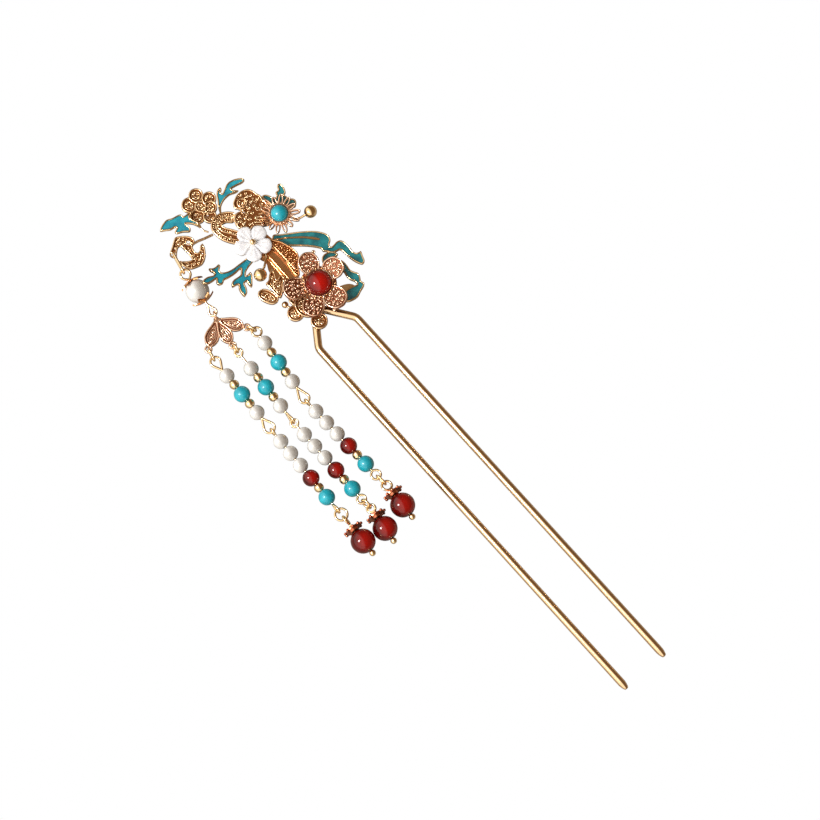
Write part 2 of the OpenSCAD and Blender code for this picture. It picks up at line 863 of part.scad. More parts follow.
// A loop that reaches along +X after a stem's length; a loop longer than it is wide is a teardrop
module eye(r, reach, roll, stem) {
    centre = reach - stem - r;
    half_angle = centre > r ? asin(r / centre) : 90;
    translate([stem, 0, 0])
        rotate([roll, 0, 0])
            if (centre > r + 0.1) {
                translate([centre, 0, 0])
                    thin_arc(r, -90 - half_angle, 180 + 2 * half_angle);
                for (side = [-1, 1])
                    rotate([0, 0, side * half_angle])
                        thin_side(sqrt(centre^2 - r^2));
            } else {
                translate([r, 0, 0])
                    thin_ring(r);
            }
}

// A closed link, straight-sided when it is longer than it is wide; it lies along +X from its start
module link(r, reach, roll) {
    side_len = reach - 2 * r;
    rotate([roll, 0, 0])
        if (side_len < 0.1) {
            translate([r, 0, 0])
                thin_ring(r);
        } else {
            translate([r, 0, 0])
                thin_arc(r, 90, 180);
            translate([r + side_len, 0, 0])
                thin_arc(r, -90, 180);
            for (side = [-1, 1])
                translate([r, side * r, 0])
                    thin_side(side_len);
        }
}

module straight_pin(l) {
    rotate([0, 90, 0])
        cylinder(h = l, r = wire_r * 0.94, $fn = 20);
}

// A ball turned round its bore, with its ends cut square at the given length
module turned_bead(d, l) {
    rotate([0, 90, 0])
        rotate_extrude()
            intersection() {
                circle(d / 2);
                translate([bore_d / 2, -l / 2])
                    square([d, l]);
            }
}

module bead(d) {
    turned_bead(d, d);
}

module spacer_bead() {
    turned_bead(spacer_d, spacer_len);
}

// Puts children at a plan point, with their +X along a heading, and pitched down if asked
module aim(p, heading, pitch = 0) {
    translate(p)
        rotate([0, pitch, heading])
            children();
}

string_z = 2.2;
bead_gap = 0.1;

// Beads of the upper and the lower pin, in order; p pearl, t turquoise, a agate, s spacer
upper_beads = "pstsp";
lower_beads = "pppast";

function bead_len(kind) =
    kind == "p" ? pearl_d : kind == "t" ? turquoise_d : kind == "a" ? agate_d : spacer_len;

// Distance from a pin's first bead edge to the centre of bead i
function bead_at(beads, i) =
    i == 0 ? bead_len(beads[0]) / 2
    : bead_at(beads, i - 1) + bead_len(beads[i - 1]) / 2 + bead_gap + bead_len(beads[i]) / 2;

function beads_len(beads) = bead_at(beads, len(beads) - 1) + bead_len(beads[len(beads) - 1]) / 2;

// One row a string, from the fan down. Columns:
// 0 first link [radius, reach, roll, heading];
// 1 upper pin's top loop [radius, reach, roll, stem]; 2 its end loop, the same; 3 its heading;
// 4 lower pin's top loop; 5 its end loop; 6 its heading;
// 7 jump ring [radius, reach, roll, heading]; 8 drop's loop; 9 its heading
strings = [
    [[0.75, 3.2, 90, -62], [1.3, 4.0, 5, 0], [1.35, 4.4, 10, 0], -51.5,
     [0.85, 2.1, 95, 0.3], [0.85, 2.9, 80, 0.3], -51.2, [1.55, 3.1, 0, -50], [1.2, 2.9, 72, 0.3], -53],
    [[1.1, 2.3, 80, -52], [0.95, 4.2, -10, 2.1], [0.9, 3.6, 78, 0.3], -52.5,
     [0.95, 2.9, -14, 0.8], [1.1, 2.55, 5, 0.35], -49.3, [1.4, 2.8, 80, -42], [1.05, 2.2, -8, 0], -57],
    [[1.2, 2.4, 88, -20], [1.2, 2.85, 8, 0.25], [1.25, 4.6, 5, 0], -55.2,
     [0.85, 2.1, 92, 0.3], [1.2, 2.9, 3, 0.3], -47.4, [0.8, 3.0, 88, -44], [1.25, 2.6, 10, 0], -53]
];

// Each loop's far wire passes through the loop before it, on its own heading
function next_start(tip, reach, heading) = tip + (reach - link_overlap) * direction(heading);

function first_link(s) = fan_eye(s);
function link_tip(s) = first_link(s) + strings[s][0][1] * direction(strings[s][0][3]);
function upper_start(s) = next_start(link_tip(s), strings[s][1][1], strings[s][3]);
function upper_stop(s) = upper_start(s) + beads_len(upper_beads) * direction(strings[s][3]);
function upper_tip(s) = upper_stop(s) + strings[s][2][1] * direction(strings[s][3]);
function lower_start(s) = next_start(upper_tip(s), strings[s][4][1], strings[s][6]);
function lower_stop(s) = lower_start(s) + beads_len(lower_beads) * direction(strings[s][6]);
function lower_tip(s) = lower_stop(s) + strings[s][5][1] * direction(strings[s][6]);
function ring_start(s) = lower_tip(s) - link_overlap * direction(strings[s][7][3]);
function ring_tip(s) = ring_start(s) + strings[s][7][1] * direction(strings[s][7][3]);

function at_height(p, z) = [p[0], p[1], z];

module string_beads(s, kind) {
    for (part = [[upper_beads, upper_start(s), strings[s][3]], [lower_beads, lower_start(s), strings[s][6]]])
        for (i = [0 : len(part[0]) - 1])
            if (part[0][i] == kind)
                aim(at_height(part[1] + bead_at(part[0], i) * direction(part[2]), string_z), part[2])
                    if (kind == "s")
                        spacer_bead();
                    else
                        bead(bead_len(kind));
}

module loop_row(row) {
    eye(row[0], row[1], row[2], row[3]);
}

// How far a straight pin runs on towards its loop, as the loop's stem
function stem_len(row) = row[3] > 0 ? row[3] + wire_r : 0;

// A wire through its beads, with a loop at each end
module eye_pin(start, stop, heading, top, end) {
    aim(at_height(start, string_z), heading + 180)
        loop_row(top);
    aim(at_height(start, string_z), heading)
        translate([-stem_len(top), 0, 0])
            straight_pin(norm(stop - start) + stem_len(top) + stem_len(end));
    aim(at_height(stop, string_z), heading)
        loop_row(end);
}

module link_row(start, row) {
    aim(at_height(start, string_z), row[3])
        link(row[0], row[1], row[2]);
}

module string_wires(s) {
    row = strings[s];
    color("gold")
        place() {
            link_row(first_link(s), row[0]);
            eye_pin(upper_start(s), upper_stop(s), row[3], row[1], row[2]);
            eye_pin(lower_start(s), lower_stop(s), row[6], row[4], row[5]);
            link_row(ring_start(s), row[7]);
        }
}

// The drop hangs along +X from its loop and leans up, because it rests on the surface
cap_len = 2.2;
drop_at = drop_d / 2 + cap_len;
drop_ball_d = 1.65;
rest_z = 0.03;

module aim_drop(s) {
    row = strings[s];
    lean = asin((drop_d / 2 + rest_z - string_z) / (drop_at + row[8][1] - link_overlap));
    aim(at_height(ring_tip(s) - link_overlap * direction(row[9]), string_z), row[9], -lean)
        translate([row[8][1], 0, 0])
            children();
}

module drop(s) {
    color("darkred")
        place()
            aim_drop(s)
                translate([drop_at, 0, 0])
                    bead(drop_d);
}

module drop_pin(s) {
    loop = strings[s][8];
    end = drop_at + drop_d / 2 + 0.1;
    color("gold")
        place()
            aim_drop(s) {
                rotate([0, 0, 180])
                    loop_row(loop);
                translate([-stem_len(loop), 0, 0])
                    straight_pin(end + stem_len(loop));
                translate([end + drop_ball_d / 2 - 0.1, 0, 0])
                    sphere(drop_ball_d / 2, $fn = 32);
            }
}

cap_balls = 9;
cap_ball_d = 0.8;
cap_ball_ring = 2.42;
// Turns the ring of balls so that two straddle the surface below
cap_phase = 10;
// Half section of the cap, columns: along the wire, out from it
cap_section = [
    [0.42, 0.45], [0.42, 0.75], [0.75, 1.0], [1.2, 2.35], [1.5, 2.3], [1.35, 1.3], [1.95, 1.1],
    [cap_len - 0.12, 0.95], [cap_len - 0.12, 0.45]
];

module drop_cap(s) {
    color("indianred")
        place()
            aim_drop(s) {
                rotate([0, 90, 0])
                    rotate_extrude()
                        polygon([for (q = cap_section) [q[1], q[0]]]);
                for (i = [0 : cap_balls - 1])
                    rotate([cap_phase + i * 360 / cap_balls, 0, 0])
                        translate([1.3, cap_ball_ring, 0])
                            sphere(cap_ball_d / 2, $fn = 20);
            }
}

// Pendant: link, pearl between two caps, and the fan

pearl_heading = -54;
pearl_pitch = 5.5;
pearl_centre = [-10.75, -13.95, large_pearl_d / 2 + rest_z];
// Loops at the pearl's two ends: radius, reach, roll, stem
pearl_top_loop = [1.3, 2.9, 6, 0];
pearl_end_loop = [0.95, 3.3, 18, 0];
pearl_top_stem = large_pearl_d / 2 + 0.6;
pearl_end_stem = large_pearl_d / 2 + 1.2;
// The caps are shallow dishes of pointed petals
dish_r = 5.2;
dish_t = 0.32;
dish_gap = 0.12;
cap_petals = 6;
// Outline of one petal from its valley on, columns: distance from the wire, share of the petal's angle
cap_petal_points = [[1.5, 0], [2.3, 0.2], [2.75, 0.35], [3.15, 0.5], [2.75, 0.65], [2.3, 0.8]];

pearl_line = [
    cos(pearl_pitch) * cos(pearl_heading), cos(pearl_pitch) * sin(pearl_heading), -sin(pearl_pitch)
];
pearl_top_tip = pearl_centre - (pearl_top_stem + pearl_top_loop[1]) * pearl_line;
pearl_end_tip = pearl_centre + (pearl_end_stem + pearl_end_loop[1]) * pearl_line;

module aim_pearl() {
    aim(pearl_centre, pearl_heading, pearl_pitch)
        children();
}

module large_pearl() {
    color("ivory")
        place()
            aim_pearl()
                bead(large_pearl_d);
}

module pearl_pin() {
    color("gold")
        place()
            aim_pearl() {
                translate([-pearl_top_stem, 0, 0])
                    straight_pin(pearl_top_stem + pearl_end_stem);
                translate([-pearl_top_stem, 0, 0])
                    rotate([0, 0, 180])
                        loop_row(pearl_top_loop);
                translate([pearl_end_stem, 0, 0])
                    loop_row(pearl_end_loop);
            }
}

// A cap of six pointed petals that opens towards -X, with its petals straddling the surface below
module pearl_cap() {
    centre = large_pearl_d / 2 + dish_gap - dish_r;
    rotate([0, 90, 0])
        difference() {
            intersection() {
                translate([0, 0, centre])
                    difference() {
                        sphere(dish_r + dish_t);
                        sphere(dish_r);
                    }
                linear_extrude(large_pearl_d)
                    polygon([
                        for (i = [0 : cap_petals - 1])
                            for (q = cap_petal_points)
                                q[0] * direction((i + q[1]) * 360 / cap_petals)
                    ]);
            }
            cylinder(h = 10, r = 0.42, $fn = 24);
        }
}

module pearl_cap_top() {
    color("sandybrown")
        place()
            aim_pearl()
                rotate([0, 0, 180])
                    pearl_cap();
}

module pearl_cap_bottom() {
    color("sandybrown")
        place()
            aim_pearl()
                pearl_cap();
}

hanging_link_r = 1.0;

module hanging_ring() {
    heading = atan2(pearl_top_tip[1] - hook_eye[1], pearl_top_tip[0] - hook_eye[0]);
    top = at_height(hook_eye - 0.12 * direction(heading), layer_b + (panel_t + rim_h) / 2);
    flat = norm([pearl_top_tip[0] - top[0], pearl_top_tip[1] - top[1]]);
    slope = atan2(pearl_top_tip[2] - top[2], flat);
    color("gold")
        place()
            aim(top, heading, -slope)
                link(hanging_link_r, norm(pearl_top_tip - top) + link_overlap, 90);
}

// Fan of three filigree leaves, each with an eye for its string
fan_z = 1.3;
fan_ring_r = 0.8;
fan_ring_heading = -70;
fan_apex = [pearl_end_tip[0], pearl_end_tip[1]] + 1.15 * direction(fan_ring_heading);
fan_eye_r = 0.78;
fan_wire_r = 0.28;
// Columns: heading, length, half width
fan_leaves = [[-104.1, 7.3, 1.85], [-58.8, 7.12, 1.7], [-15.3, 7.12, 1.75]];

function fan_tip(s) = fan_apex + fan_leaves[s][1] * direction(fan_leaves[s][0]);
function fan_eye(s) = fan_tip(s) + fan_eye_r * direction(fan_leaves[s][0]);

function leaf_points(l) = closed_curve([
    for (q = [[0.02, 0.2], [0.25, 0.55], [0.5, 0.92], [0.72, 1.0], [0.92, 0.6], [1, 0],
              [0.92, -0.6], [0.72, -1.0], [0.5, -0.92], [0.25, -0.55], [0.02, -0.2]])
        let(x = q[0] * l[1], y = q[1] * l[2])
        fan_apex + [x * cos(l[0]) - y * sin(l[0]), x * sin(l[0]) + y * cos(l[0])]
], 3);

module fan_plaque() {
    ring_line = [cos(fan_ring_heading), sin(fan_ring_heading), 0];
    ring_centre = pearl_end_tip - (link_overlap - fan_ring_r) * ring_line;
    color("tan")
        place() {
            difference() {
                union() {
                    for (l = fan_leaves)
                        filigree(fan_z)
                            polygon(leaf_points(l));
                    translate([fan_apex[0], fan_apex[1], fan_z])
                        cylinder(h = 0.75, r = 0.75, $fn = 32);
                }
                piercings(fan_z, [
                    for (l = fan_leaves)
                        for (k = [0.45, 0.62, 0.79])
                            fan_apex + k * l[1] * direction(l[0])
                ], 0.3);
            }
            for (s = [0 : 2]) {
                translate(at_height(fan_eye(s), string_z))
                    rotate_extrude()
                        translate([fan_eye_r, 0])
                            circle(fan_wire_r, $fn = 20);
                translate(at_height(fan_tip(s), fan_z + 0.55))
                    sphere(0.42, $fn = 24);
            }
            translate(ring_centre)
                rotate([0, 0, fan_ring_heading])
                    rotate([90, 0, 0])
                        rotate_extrude()
                            translate([fan_ring_r, 0])
                                circle(fan_wire_r, $fn = 20);
        }
}

module left_pearls() { color("ivory") place() string_beads(0, "p"); }
module left_turquoise() { color("darkturquoise") place() string_beads(0, "t"); }
module left_agate() { color("darkred") place() string_beads(0, "a"); }
module left_spacers() { color("gold") place() string_beads(0, "s"); }
module centre_pearls() { color("ivory") place() string_beads(1, "p"); }
module centre_turquoise() { color("darkturquoise") place() string_beads(1, "t"); }
module centre_agate() { color("darkred") place() string_beads(1, "a"); }
module centre_spacers() { color("gold") place() string_beads(1, "s"); }
module right_pearls() { color("ivory") place() string_beads(2, "p"); }
module right_turquoise() { color("darkturquoise") place() string_beads(2, "t"); }
module right_agate() { color("darkred") place() string_beads(2, "a"); }
module right_spacers() { color("gold") place() string_beads(2, "s"); }

hair_fork();
filigree_blossom();
top_leaf();
top_leaf_enamel();
left_leaf();
left_leaf_enamel();
filigree_loop();
hook_plaque();
butterfly_wing();
daisy();
daisy_stone();
back_leaf();
back_leaf_enamel();
stamen_right();
stamen_lower();
shell_flower();
shell_pin();
long_ribbon();
long_ribbon_enamel();
short_ribbon();
short_ribbon_enamel();
filigree_feather();
gold_leaf();
small_butterfly();
red_flower();
red_stone();
under_flower();
sprig();
sprig_enamel();
hanging_ring();
pearl_cap_top();
large_pearl();
pearl_cap_bottom();
pearl_pin();
fan_plaque();
left_pearls();
left_turquoise();
left_agate();
left_spacers();
string_wires(0);  // left_wires
drop(0);  // left_drop
drop_cap(0);  // left_drop_cap
drop_pin(0);  // left_drop_pin
centre_pearls();
centre_turquoise();
centre_agate();
centre_spacers();
string_wires(1);  // centre_wires
drop(1);  // centre_drop
drop_cap(1);  // centre_drop_cap
drop_pin(1);  // centre_drop_pin
right_pearls();
right_turquoise();
right_agate();
right_spacers();
string_wires(2);  // right_wires
drop(2);  // right_drop
drop_cap(2);  // right_drop_cap
drop_pin(2);  // right_drop_pin
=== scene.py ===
# Buyao hairpin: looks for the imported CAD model. Blender works in metres; sizes below are in millimetres.
import math
import random

import bpy
from mathutils import Matrix, Vector
from mathutils.bvhtree import BVHTree


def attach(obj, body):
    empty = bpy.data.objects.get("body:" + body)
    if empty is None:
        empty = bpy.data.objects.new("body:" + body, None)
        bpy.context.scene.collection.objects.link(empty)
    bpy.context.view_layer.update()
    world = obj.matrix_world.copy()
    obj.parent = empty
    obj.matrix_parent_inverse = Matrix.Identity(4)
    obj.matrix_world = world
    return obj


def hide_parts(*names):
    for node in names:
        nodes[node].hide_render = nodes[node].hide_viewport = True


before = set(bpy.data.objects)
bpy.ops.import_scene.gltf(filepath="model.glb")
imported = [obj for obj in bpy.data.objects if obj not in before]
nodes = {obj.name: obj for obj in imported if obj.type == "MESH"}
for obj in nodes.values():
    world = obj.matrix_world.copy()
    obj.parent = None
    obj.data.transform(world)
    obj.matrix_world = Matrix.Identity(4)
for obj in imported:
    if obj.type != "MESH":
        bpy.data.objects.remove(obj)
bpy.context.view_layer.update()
mm = 0.001

# The head was laid out on a plan whose x and y are the photograph's right and up
plan = {"turn": math.radians(41.25), "frameX": -5.586, "frameY": -66.181, "middle": (42.5, -44.0)}


def toRow(x, y, z=0.0):
    c, s = math.cos(plan["turn"]), math.sin(plan["turn"])
    return Vector((x * c + y * s - plan["frameX"], -x * s + y * c - plan["frameY"], z))


# Materials

def hexColour(text):
    parts = [int(text[i:i + 2], 16) / 255 for i in (1, 3, 5)]
    return tuple([p / 12.92 if p <= 0.04045 else ((p + 0.055) / 1.055) ** 2.4 for p in parts] + [1.0])


def addNode(tree, kind, links=None, **settings):
    node = tree.nodes.new(kind)
    for name, value in settings.items():
        setattr(node, name, value)
    for socket, source in (links or {}).items():
        if isinstance(source, bpy.types.NodeSocket):
            tree.links.new(source, node.inputs[socket])
        else:
            node.inputs[socket].default_value = source
    return node


def startMaterial(name):
    material = bpy.data.materials.new(name)
    material.use_nodes = True
    tree = material.node_tree
    tree.nodes.clear()
    output = addNode(tree, "ShaderNodeOutputMaterial")
    place = addNode(tree, "ShaderNodeTexCoord").outputs["Object"]
    return material, tree, output, place


def mixOf(tree, factor, dark, light):
    mix = addNode(tree, "ShaderNodeMix", {"Factor": factor, "A": dark, "B": light}, data_type="RGBA")
    return mix.outputs["Result"]


def noiseOf(tree, place, size, detail=1.0, distortion=0.0):
    # Noise with clouds about this many millimetres across
    return addNode(tree, "ShaderNodeTexNoise", {"Vector": place, "Scale": 1 / (size * mm), "Detail": detail,
                                                "Distortion": distortion}).outputs["Fac"]


def rangeOf(tree, value, low, high, **settings):
    # Stretches a value, so that low gives 0 and high gives 1
    return addNode(tree, "ShaderNodeMapRange", {"Value": value, "From Min": low, "From Max": high},
                   **settings).outputs["Result"]


def bumpOf(tree, height, strength, depth):
    return addNode(tree, "ShaderNodeBump", {"Height": height, "Strength": strength,
                                            "Distance": depth * mm}).outputs["Normal"]


# The fade says how far above a panel's floor the painted shade of the dark ground colour gives way to the
# polish
goldFinish = {"fadeFrom": 0.02, "fadeTo": 0.13, "shadedRough": 0.55, "patchDetail": 2.0, "depth": 0.05}


def goldMaterial(name, look, level=None):
    # Gilt copper: a polished skin. Painted shade, a dull dark ground colour, fills the hollows and, where a
    # level is given, the panels' floors, so that the wires stand out as bright lines.
    material, tree, output, place = startMaterial(name)
    patches = noiseOf(tree, place, look["patchSize"], goldFinish["patchDetail"])
    tone = mixOf(tree, patches, hexColour(look["dark"]), hexColour(look["light"]))
    hollow = addNode(tree, "ShaderNodeAmbientOcclusion", {"Distance": look["reach"] * mm}, samples=8)
    unshaded = rangeOf(tree, hollow.outputs["AO"], look["hollowFrom"], look["hollowTo"])
    if level is not None:
        height = addNode(tree, "ShaderNodeSeparateXYZ", {0: place}).outputs["Z"]
        low, high = (level + goldFinish["fadeFrom"]) * mm, (level + goldFinish["fadeTo"]) * mm
        above = rangeOf(tree, height, low, high)
        unshaded = addNode(tree, "ShaderNodeMath", {0: unshaded, 1: above}, operation="MULTIPLY").outputs[0]
    rough = addNode(tree, "ShaderNodeMapRange", {"Value": unshaded, "To Min": goldFinish["shadedRough"],
                                                 "To Max": look["rough"]})
    # The ground colour mixed in here is painted shade, wherever the mask is low
    shader = addNode(tree, "ShaderNodeBsdfPrincipled", {
        "Base Color": mixOf(tree, unshaded, hexColour(look["ground"]), tone), "Metallic": 1.0,
        "Roughness": rough.outputs["Result"],
        "Normal": bumpOf(tree, noiseOf(tree, place, look["grain"]), look["relief"], goldFinish["depth"])})
    tree.links.new(shader.outputs[0], output.inputs[0])
    return material


# Each look's ground colour is painted shade for hollows and panel floors
goldLooks = {
    # One even polish, so that each prong is a long clean highlight; with its hollow range below nought, no
    # painted shade shows
    "fork": {"dark": "#e2c096", "light": "#f2d4ac", "ground": "#7a5236", "patchSize": 14.0, "reach": 0.02,
             "hollowFrom": -1.0, "hollowTo": -0.5, "grain": 9.0, "relief": 0.01, "rough": 0.18},
    # Pale wires over painted brown shade, for the lace of the panels
    "filigree": {"dark": "#eec08a", "light": "#fde6c0", "ground": "#84502a", "patchSize": 2.5, "reach": 0.2,
                 "hollowFrom": 0.05, "hollowTo": 0.45, "grain": 1.2, "relief": 0.15, "rough": 0.2},
    # Bright walls that draw a line round the enamel
    "tray": {"dark": "#e6c088", "light": "#fae0b4", "ground": "#5c3413", "patchSize": 3.0, "reach": 0.3,
             "hollowFrom": 0.25, "hollowTo": 0.7, "grain": 1.6, "relief": 0.1, "rough": 0.16},
    # The pinker gold of the fan, the daisy and the red flower's wires
    "rose": {"dark": "#ecbe9c", "light": "#fce0c8", "ground": "#945c44", "patchSize": 2.5, "reach": 0.2,
             "hollowFrom": 0.05, "hollowTo": 0.45, "grain": 1.2, "relief": 0.15, "rough": 0.2},
    # The warmer gold of the feather, the leaf and the pearl's caps
    "orange": {"dark": "#dc9a5e", "light": "#f4c08c", "ground": "#84481f", "patchSize": 3.0, "reach": 0.25,
               "hollowFrom": 0.1, "hollowTo": 0.5, "grain": 1.6, "relief": 0.15, "rough": 0.18},
    # Red copper for the drops' caps
    "copper": {"dark": "#b0583c", "light": "#dc8f6c", "ground": "#3e140a", "patchSize": 2.0, "reach": 0.4,
               "hollowFrom": 0.25, "hollowTo": 0.75, "grain": 1.0, "relief": 0.15, "rough": 0.2},
    # A duller rose under the red flower's wires
    "oldRose": {"dark": "#9c5a42", "light": "#bc7e60", "ground": "#5a2a1c", "patchSize": 2.0, "reach": 0.3,
                "hollowFrom": 0.25, "hollowTo": 0.7, "grain": 1.2, "relief": 0.2, "rough": 0.3},
    # Thin drawn wire, which shows as bright lines
    "wire": {"dark": "#eecb90", "light": "#fdeac4", "ground": "#6b4218", "patchSize": 3.0, "reach": 0.2,
             "hollowFrom": 0.2, "hollowTo": 0.6, "grain": 2.0, "relief": 0.05, "rough": 0.14},
}
gold = {name: goldMaterial("gilt copper, " + name, look) for name, look in goldLooks.items()}

enamelFinish = {"cloud": 2.2, "wave": 1.1, "relief": 0.35, "depth": 0.12, "wallShadeReach": 0.35, "wallShadeFrom": 0.45,
                "wallShadeTo": 0.9, "rough": 0.22, "coat": 0.6, "coatRough": 0.06}
cloudBand = {"low": 0.35, "high": 0.65, "detail": 3.0}


def enamelMaterial(name, look):
    # Fired enamel: glassy, with a faint cloud in the colour, painted shade darkening it next to the wall, and
    # a slightly uneven surface that breaks its highlights
    material, tree, output, place = startMaterial(name)
    finish = enamelFinish
    cloud = noiseOf(tree, place, finish["cloud"], cloudBand["detail"])
    colour = mixOf(tree, rangeOf(tree, cloud, cloudBand["low"], cloudBand["high"]), hexColour(look["dark"]),
                   hexColour(look["light"]))
    # The edge colour is painted shade, laid where ambient occlusion finds the wall
    edge = addNode(tree, "ShaderNodeAmbientOcclusion", {"Distance": finish["wallShadeReach"] * mm}, samples=6)
    wallShade = rangeOf(tree, edge.outputs["AO"], finish["wallShadeFrom"], finish["wallShadeTo"])
    shader = addNode(tree, "ShaderNodeBsdfPrincipled", {
        "Base Color": mixOf(tree, wallShade, hexColour(look["edge"]), colour), "Roughness": finish["rough"],
        "Coat Weight": finish["coat"], "Coat Roughness": finish["coatRough"],
        "Normal": bumpOf(tree, noiseOf(tree, place, finish["wave"]), finish["relief"], finish["depth"])})
    tree.links.new(shader.outputs[0], output.inputs[0])
    return material


# Each edge colour is painted shade next to the tray walls
enamel = {
    "teal": enamelMaterial("teal enamel", {"dark": "#0f7187", "light": "#1c93a5", "edge": "#0a4a56"}),
    "dark": enamelMaterial("dark green enamel", {"dark": "#0d5a62", "light": "#1d8085", "edge": "#0a3238"}),
}

# The side of a bead that faces away from the key light
farSide = (toRow(0.55, -0.05, 0.8) - toRow(0, 0)).normalized()
stoneFinish = {"twist": 0.6, "coatRough": 0.05, "farFrom": 0.2, "farTo": 1.0, "wave": 1.6, "depth": 0.08}


def stoneMaterial(name, look):
    # Polished beads: body colour with clouds at their real size under a smooth skin. A far colour is painted
    # on the side away from the key light: a painted glow in clear stones, and painted grey shade on pearls.
    material, tree, output, place = startMaterial(name)
    cloud = noiseOf(tree, place, look["cloud"], cloudBand["detail"], stoneFinish["twist"])
    colour = mixOf(tree, rangeOf(tree, cloud, cloudBand["low"], cloudBand["high"]), hexColour(look["dark"]),
                   hexColour(look["light"]))
    # The far colour is painted light: a glow or a shade on the side away from the key
    if "far" in look:
        normal = addNode(tree, "ShaderNodeNewGeometry").outputs["Normal"]
        facing = addNode(tree, "ShaderNodeVectorMath", {0: normal, 1: farSide}, operation="DOT_PRODUCT")
        part = rangeOf(tree, facing.outputs["Value"], stoneFinish["farFrom"], stoneFinish["farTo"],
                       interpolation_type="SMOOTHSTEP")
        colour = mixOf(tree, part, colour, hexColour(look["far"]))
    links = {"Base Color": colour, "Roughness": look["rough"], "Coat Weight": look["coat"],
             "Coat Roughness": stoneFinish["coatRough"], "Subsurface Weight": look["soft"],
             "Subsurface Scale": look["depth"] * mm, "IOR": look["ior"]}
    if "relief" in look:
        swell = noiseOf(tree, place, stoneFinish["wave"])
        links["Normal"] = bumpOf(tree, swell, look["relief"], stoneFinish["depth"])
    shader = addNode(tree, "ShaderNodeBsdfPrincipled", links)
    shader.inputs["Subsurface Radius"].default_value = look["radius"]
    tree.links.new(shader.outputs[0], output.inputs[0])
    return material


stone = {
    # White skin under a clear coat, with painted grey shade on the side away from the key
    "pearl": stoneMaterial("nacre", {
        "dark": "#cbcbca", "light": "#dadad8", "far": "#a5a29d", "cloud": 3.0, "rough": 0.3, "coat": 1.0,
        "soft": 0.0, "depth": 0.4, "ior": 1.75, "relief": 0.01, "radius": (1.0, 0.9, 0.8)}),
    # Even and opaque, with a small highlight
    "turquoise": stoneMaterial("polished turquoise", {
        "dark": "#0c8c9e", "light": "#1aa2b2", "cloud": 2.2, "rough": 0.3, "coat": 0.25, "soft": 0.05,
        "depth": 0.3, "ior": 1.5, "radius": (0.4, 1.0, 1.0)}),
    # Deep red, with a painted glow on the side away from the key light
    "agate": stoneMaterial("red agate", {
        "dark": "#3a0303", "light": "#560705", "far": "#8e0f0a", "cloud": 3.0, "rough": 0.1, "coat": 0.05,
        "soft": 0.1, "depth": 0.8, "ior": 1.42, "radius": (1.0, 0.1, 0.05)}),
    # The same in the larger stone, a little brighter, with the same painted glow away from the key light
    "redStone": stoneMaterial("red cabochon", {
        "dark": "#440404", "light": "#640807", "far": "#a5120b", "cloud": 3.5, "rough": 0.08, "coat": 0.05,
        "soft": 0.1, "depth": 1.0, "ior": 1.45, "radius": (1.0, 0.1, 0.05)}),
    # Cool white that lets some light through
    "shell": stoneMaterial("carved shell", {
        "dark": "#cacbd0", "light": "#e4e5e8", "cloud": 1.6, "rough": 0.3, "coat": 0.3, "soft": 0.3,
        "depth": 0.5, "ior": 1.53, "relief": 0.1, "radius": (1.0, 0.95, 0.9)}),
}
print("materials made")


# Mesh helpers. Shapes are lists of points and faces in row-frame millimetres.

def newShape():
    return {"points": [], "faces": []}


def addPiece(name, shape, material, replaced=()):
    mesh = bpy.data.meshes.new(name)
    mesh.from_pydata([(p[0] * mm, p[1] * mm, p[2] * mm) for p in shape["points"]], [], shape["faces"])
    mesh.validate()
    mesh.update()
    mesh.shade_smooth()
    piece = bpy.data.objects.new(name, mesh)
    bpy.context.scene.collection.objects.link(piece)
    mesh.materials.append(material)
    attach(piece, "root")
    if replaced:
        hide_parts(*replaced)
    return piece


def addTube(shape, path, radius, closed=False, sides=6):
    # A round wire along points; radius is one number or one for each point
    count = len(path)
    start = len(shape["points"])
    side = Vector((0, 0, 1))
    for i, p in enumerate(path):
        before = path[i - 1] if closed or i > 0 else p
        after = path[(i + 1) % count] if closed or i < count - 1 else p
        along = (after - before).normalized()
        across = along.cross(side)
        if across.length < 0.05:
            across = along.cross(Vector((1, 0, 0)))
        across.normalize()
        up = across.cross(along).normalized()
        r = radius[i] if isinstance(radius, (list, tuple)) else radius
        for k in range(sides):
            a = 2 * math.pi * k / sides
            shape["points"].append(p + across * (r * math.cos(a)) + up * (r * math.sin(a)))
    rows = count if closed else count - 1
    for i in range(rows):
        for k in range(sides):
            a = start + i * sides + k
            b = start + i * sides + (k + 1) % sides
            c = start + ((i + 1) % count) * sides + (k + 1) % sides
            d = start + ((i + 1) % count) * sides + k
            shape["faces"].append((a, b, c, d))
    if not closed:
        shape["faces"].append(tuple(start + k for k in range(sides - 1, -1, -1)))
        shape["faces"].append(tuple(start + (count - 1) * sides + k for k in range(sides)))


def addGrain(shape, centre, radius, segments=8, rings=5):
    # A granule: a small ball
    start = len(shape["points"])
    for i in range(1, rings):
        a = math.pi * i / rings
        for k in range(segments):
            b = 2 * math.pi * k / segments
            way = Vector((math.sin(a) * math.cos(b), math.sin(a) * math.sin(b), math.cos(a)))
            shape["points"].append(centre + way * radius)
    top = len(shape["points"])
    shape["points"].append(centre + Vector((0, 0, radius)))
    shape["points"].append(centre - Vector((0, 0, radius)))
    last = start + (rings - 2) * segments
    for k in range(segments):
        n = (k + 1) % segments
        shape["faces"].append((top, start + k, start + n))
        shape["faces"].append((top + 1, last + n, last + k))
        for i in range(rings - 2):
            a = start + i * segments
            shape["faces"].append((a + k, a + segments + k, a + segments + n, a + n))


scroll = {"steps": 14, "large": 0.45, "turns": 1.35, "smallTurns": 1.0, "closing": 0.72, "grain": 1.25}


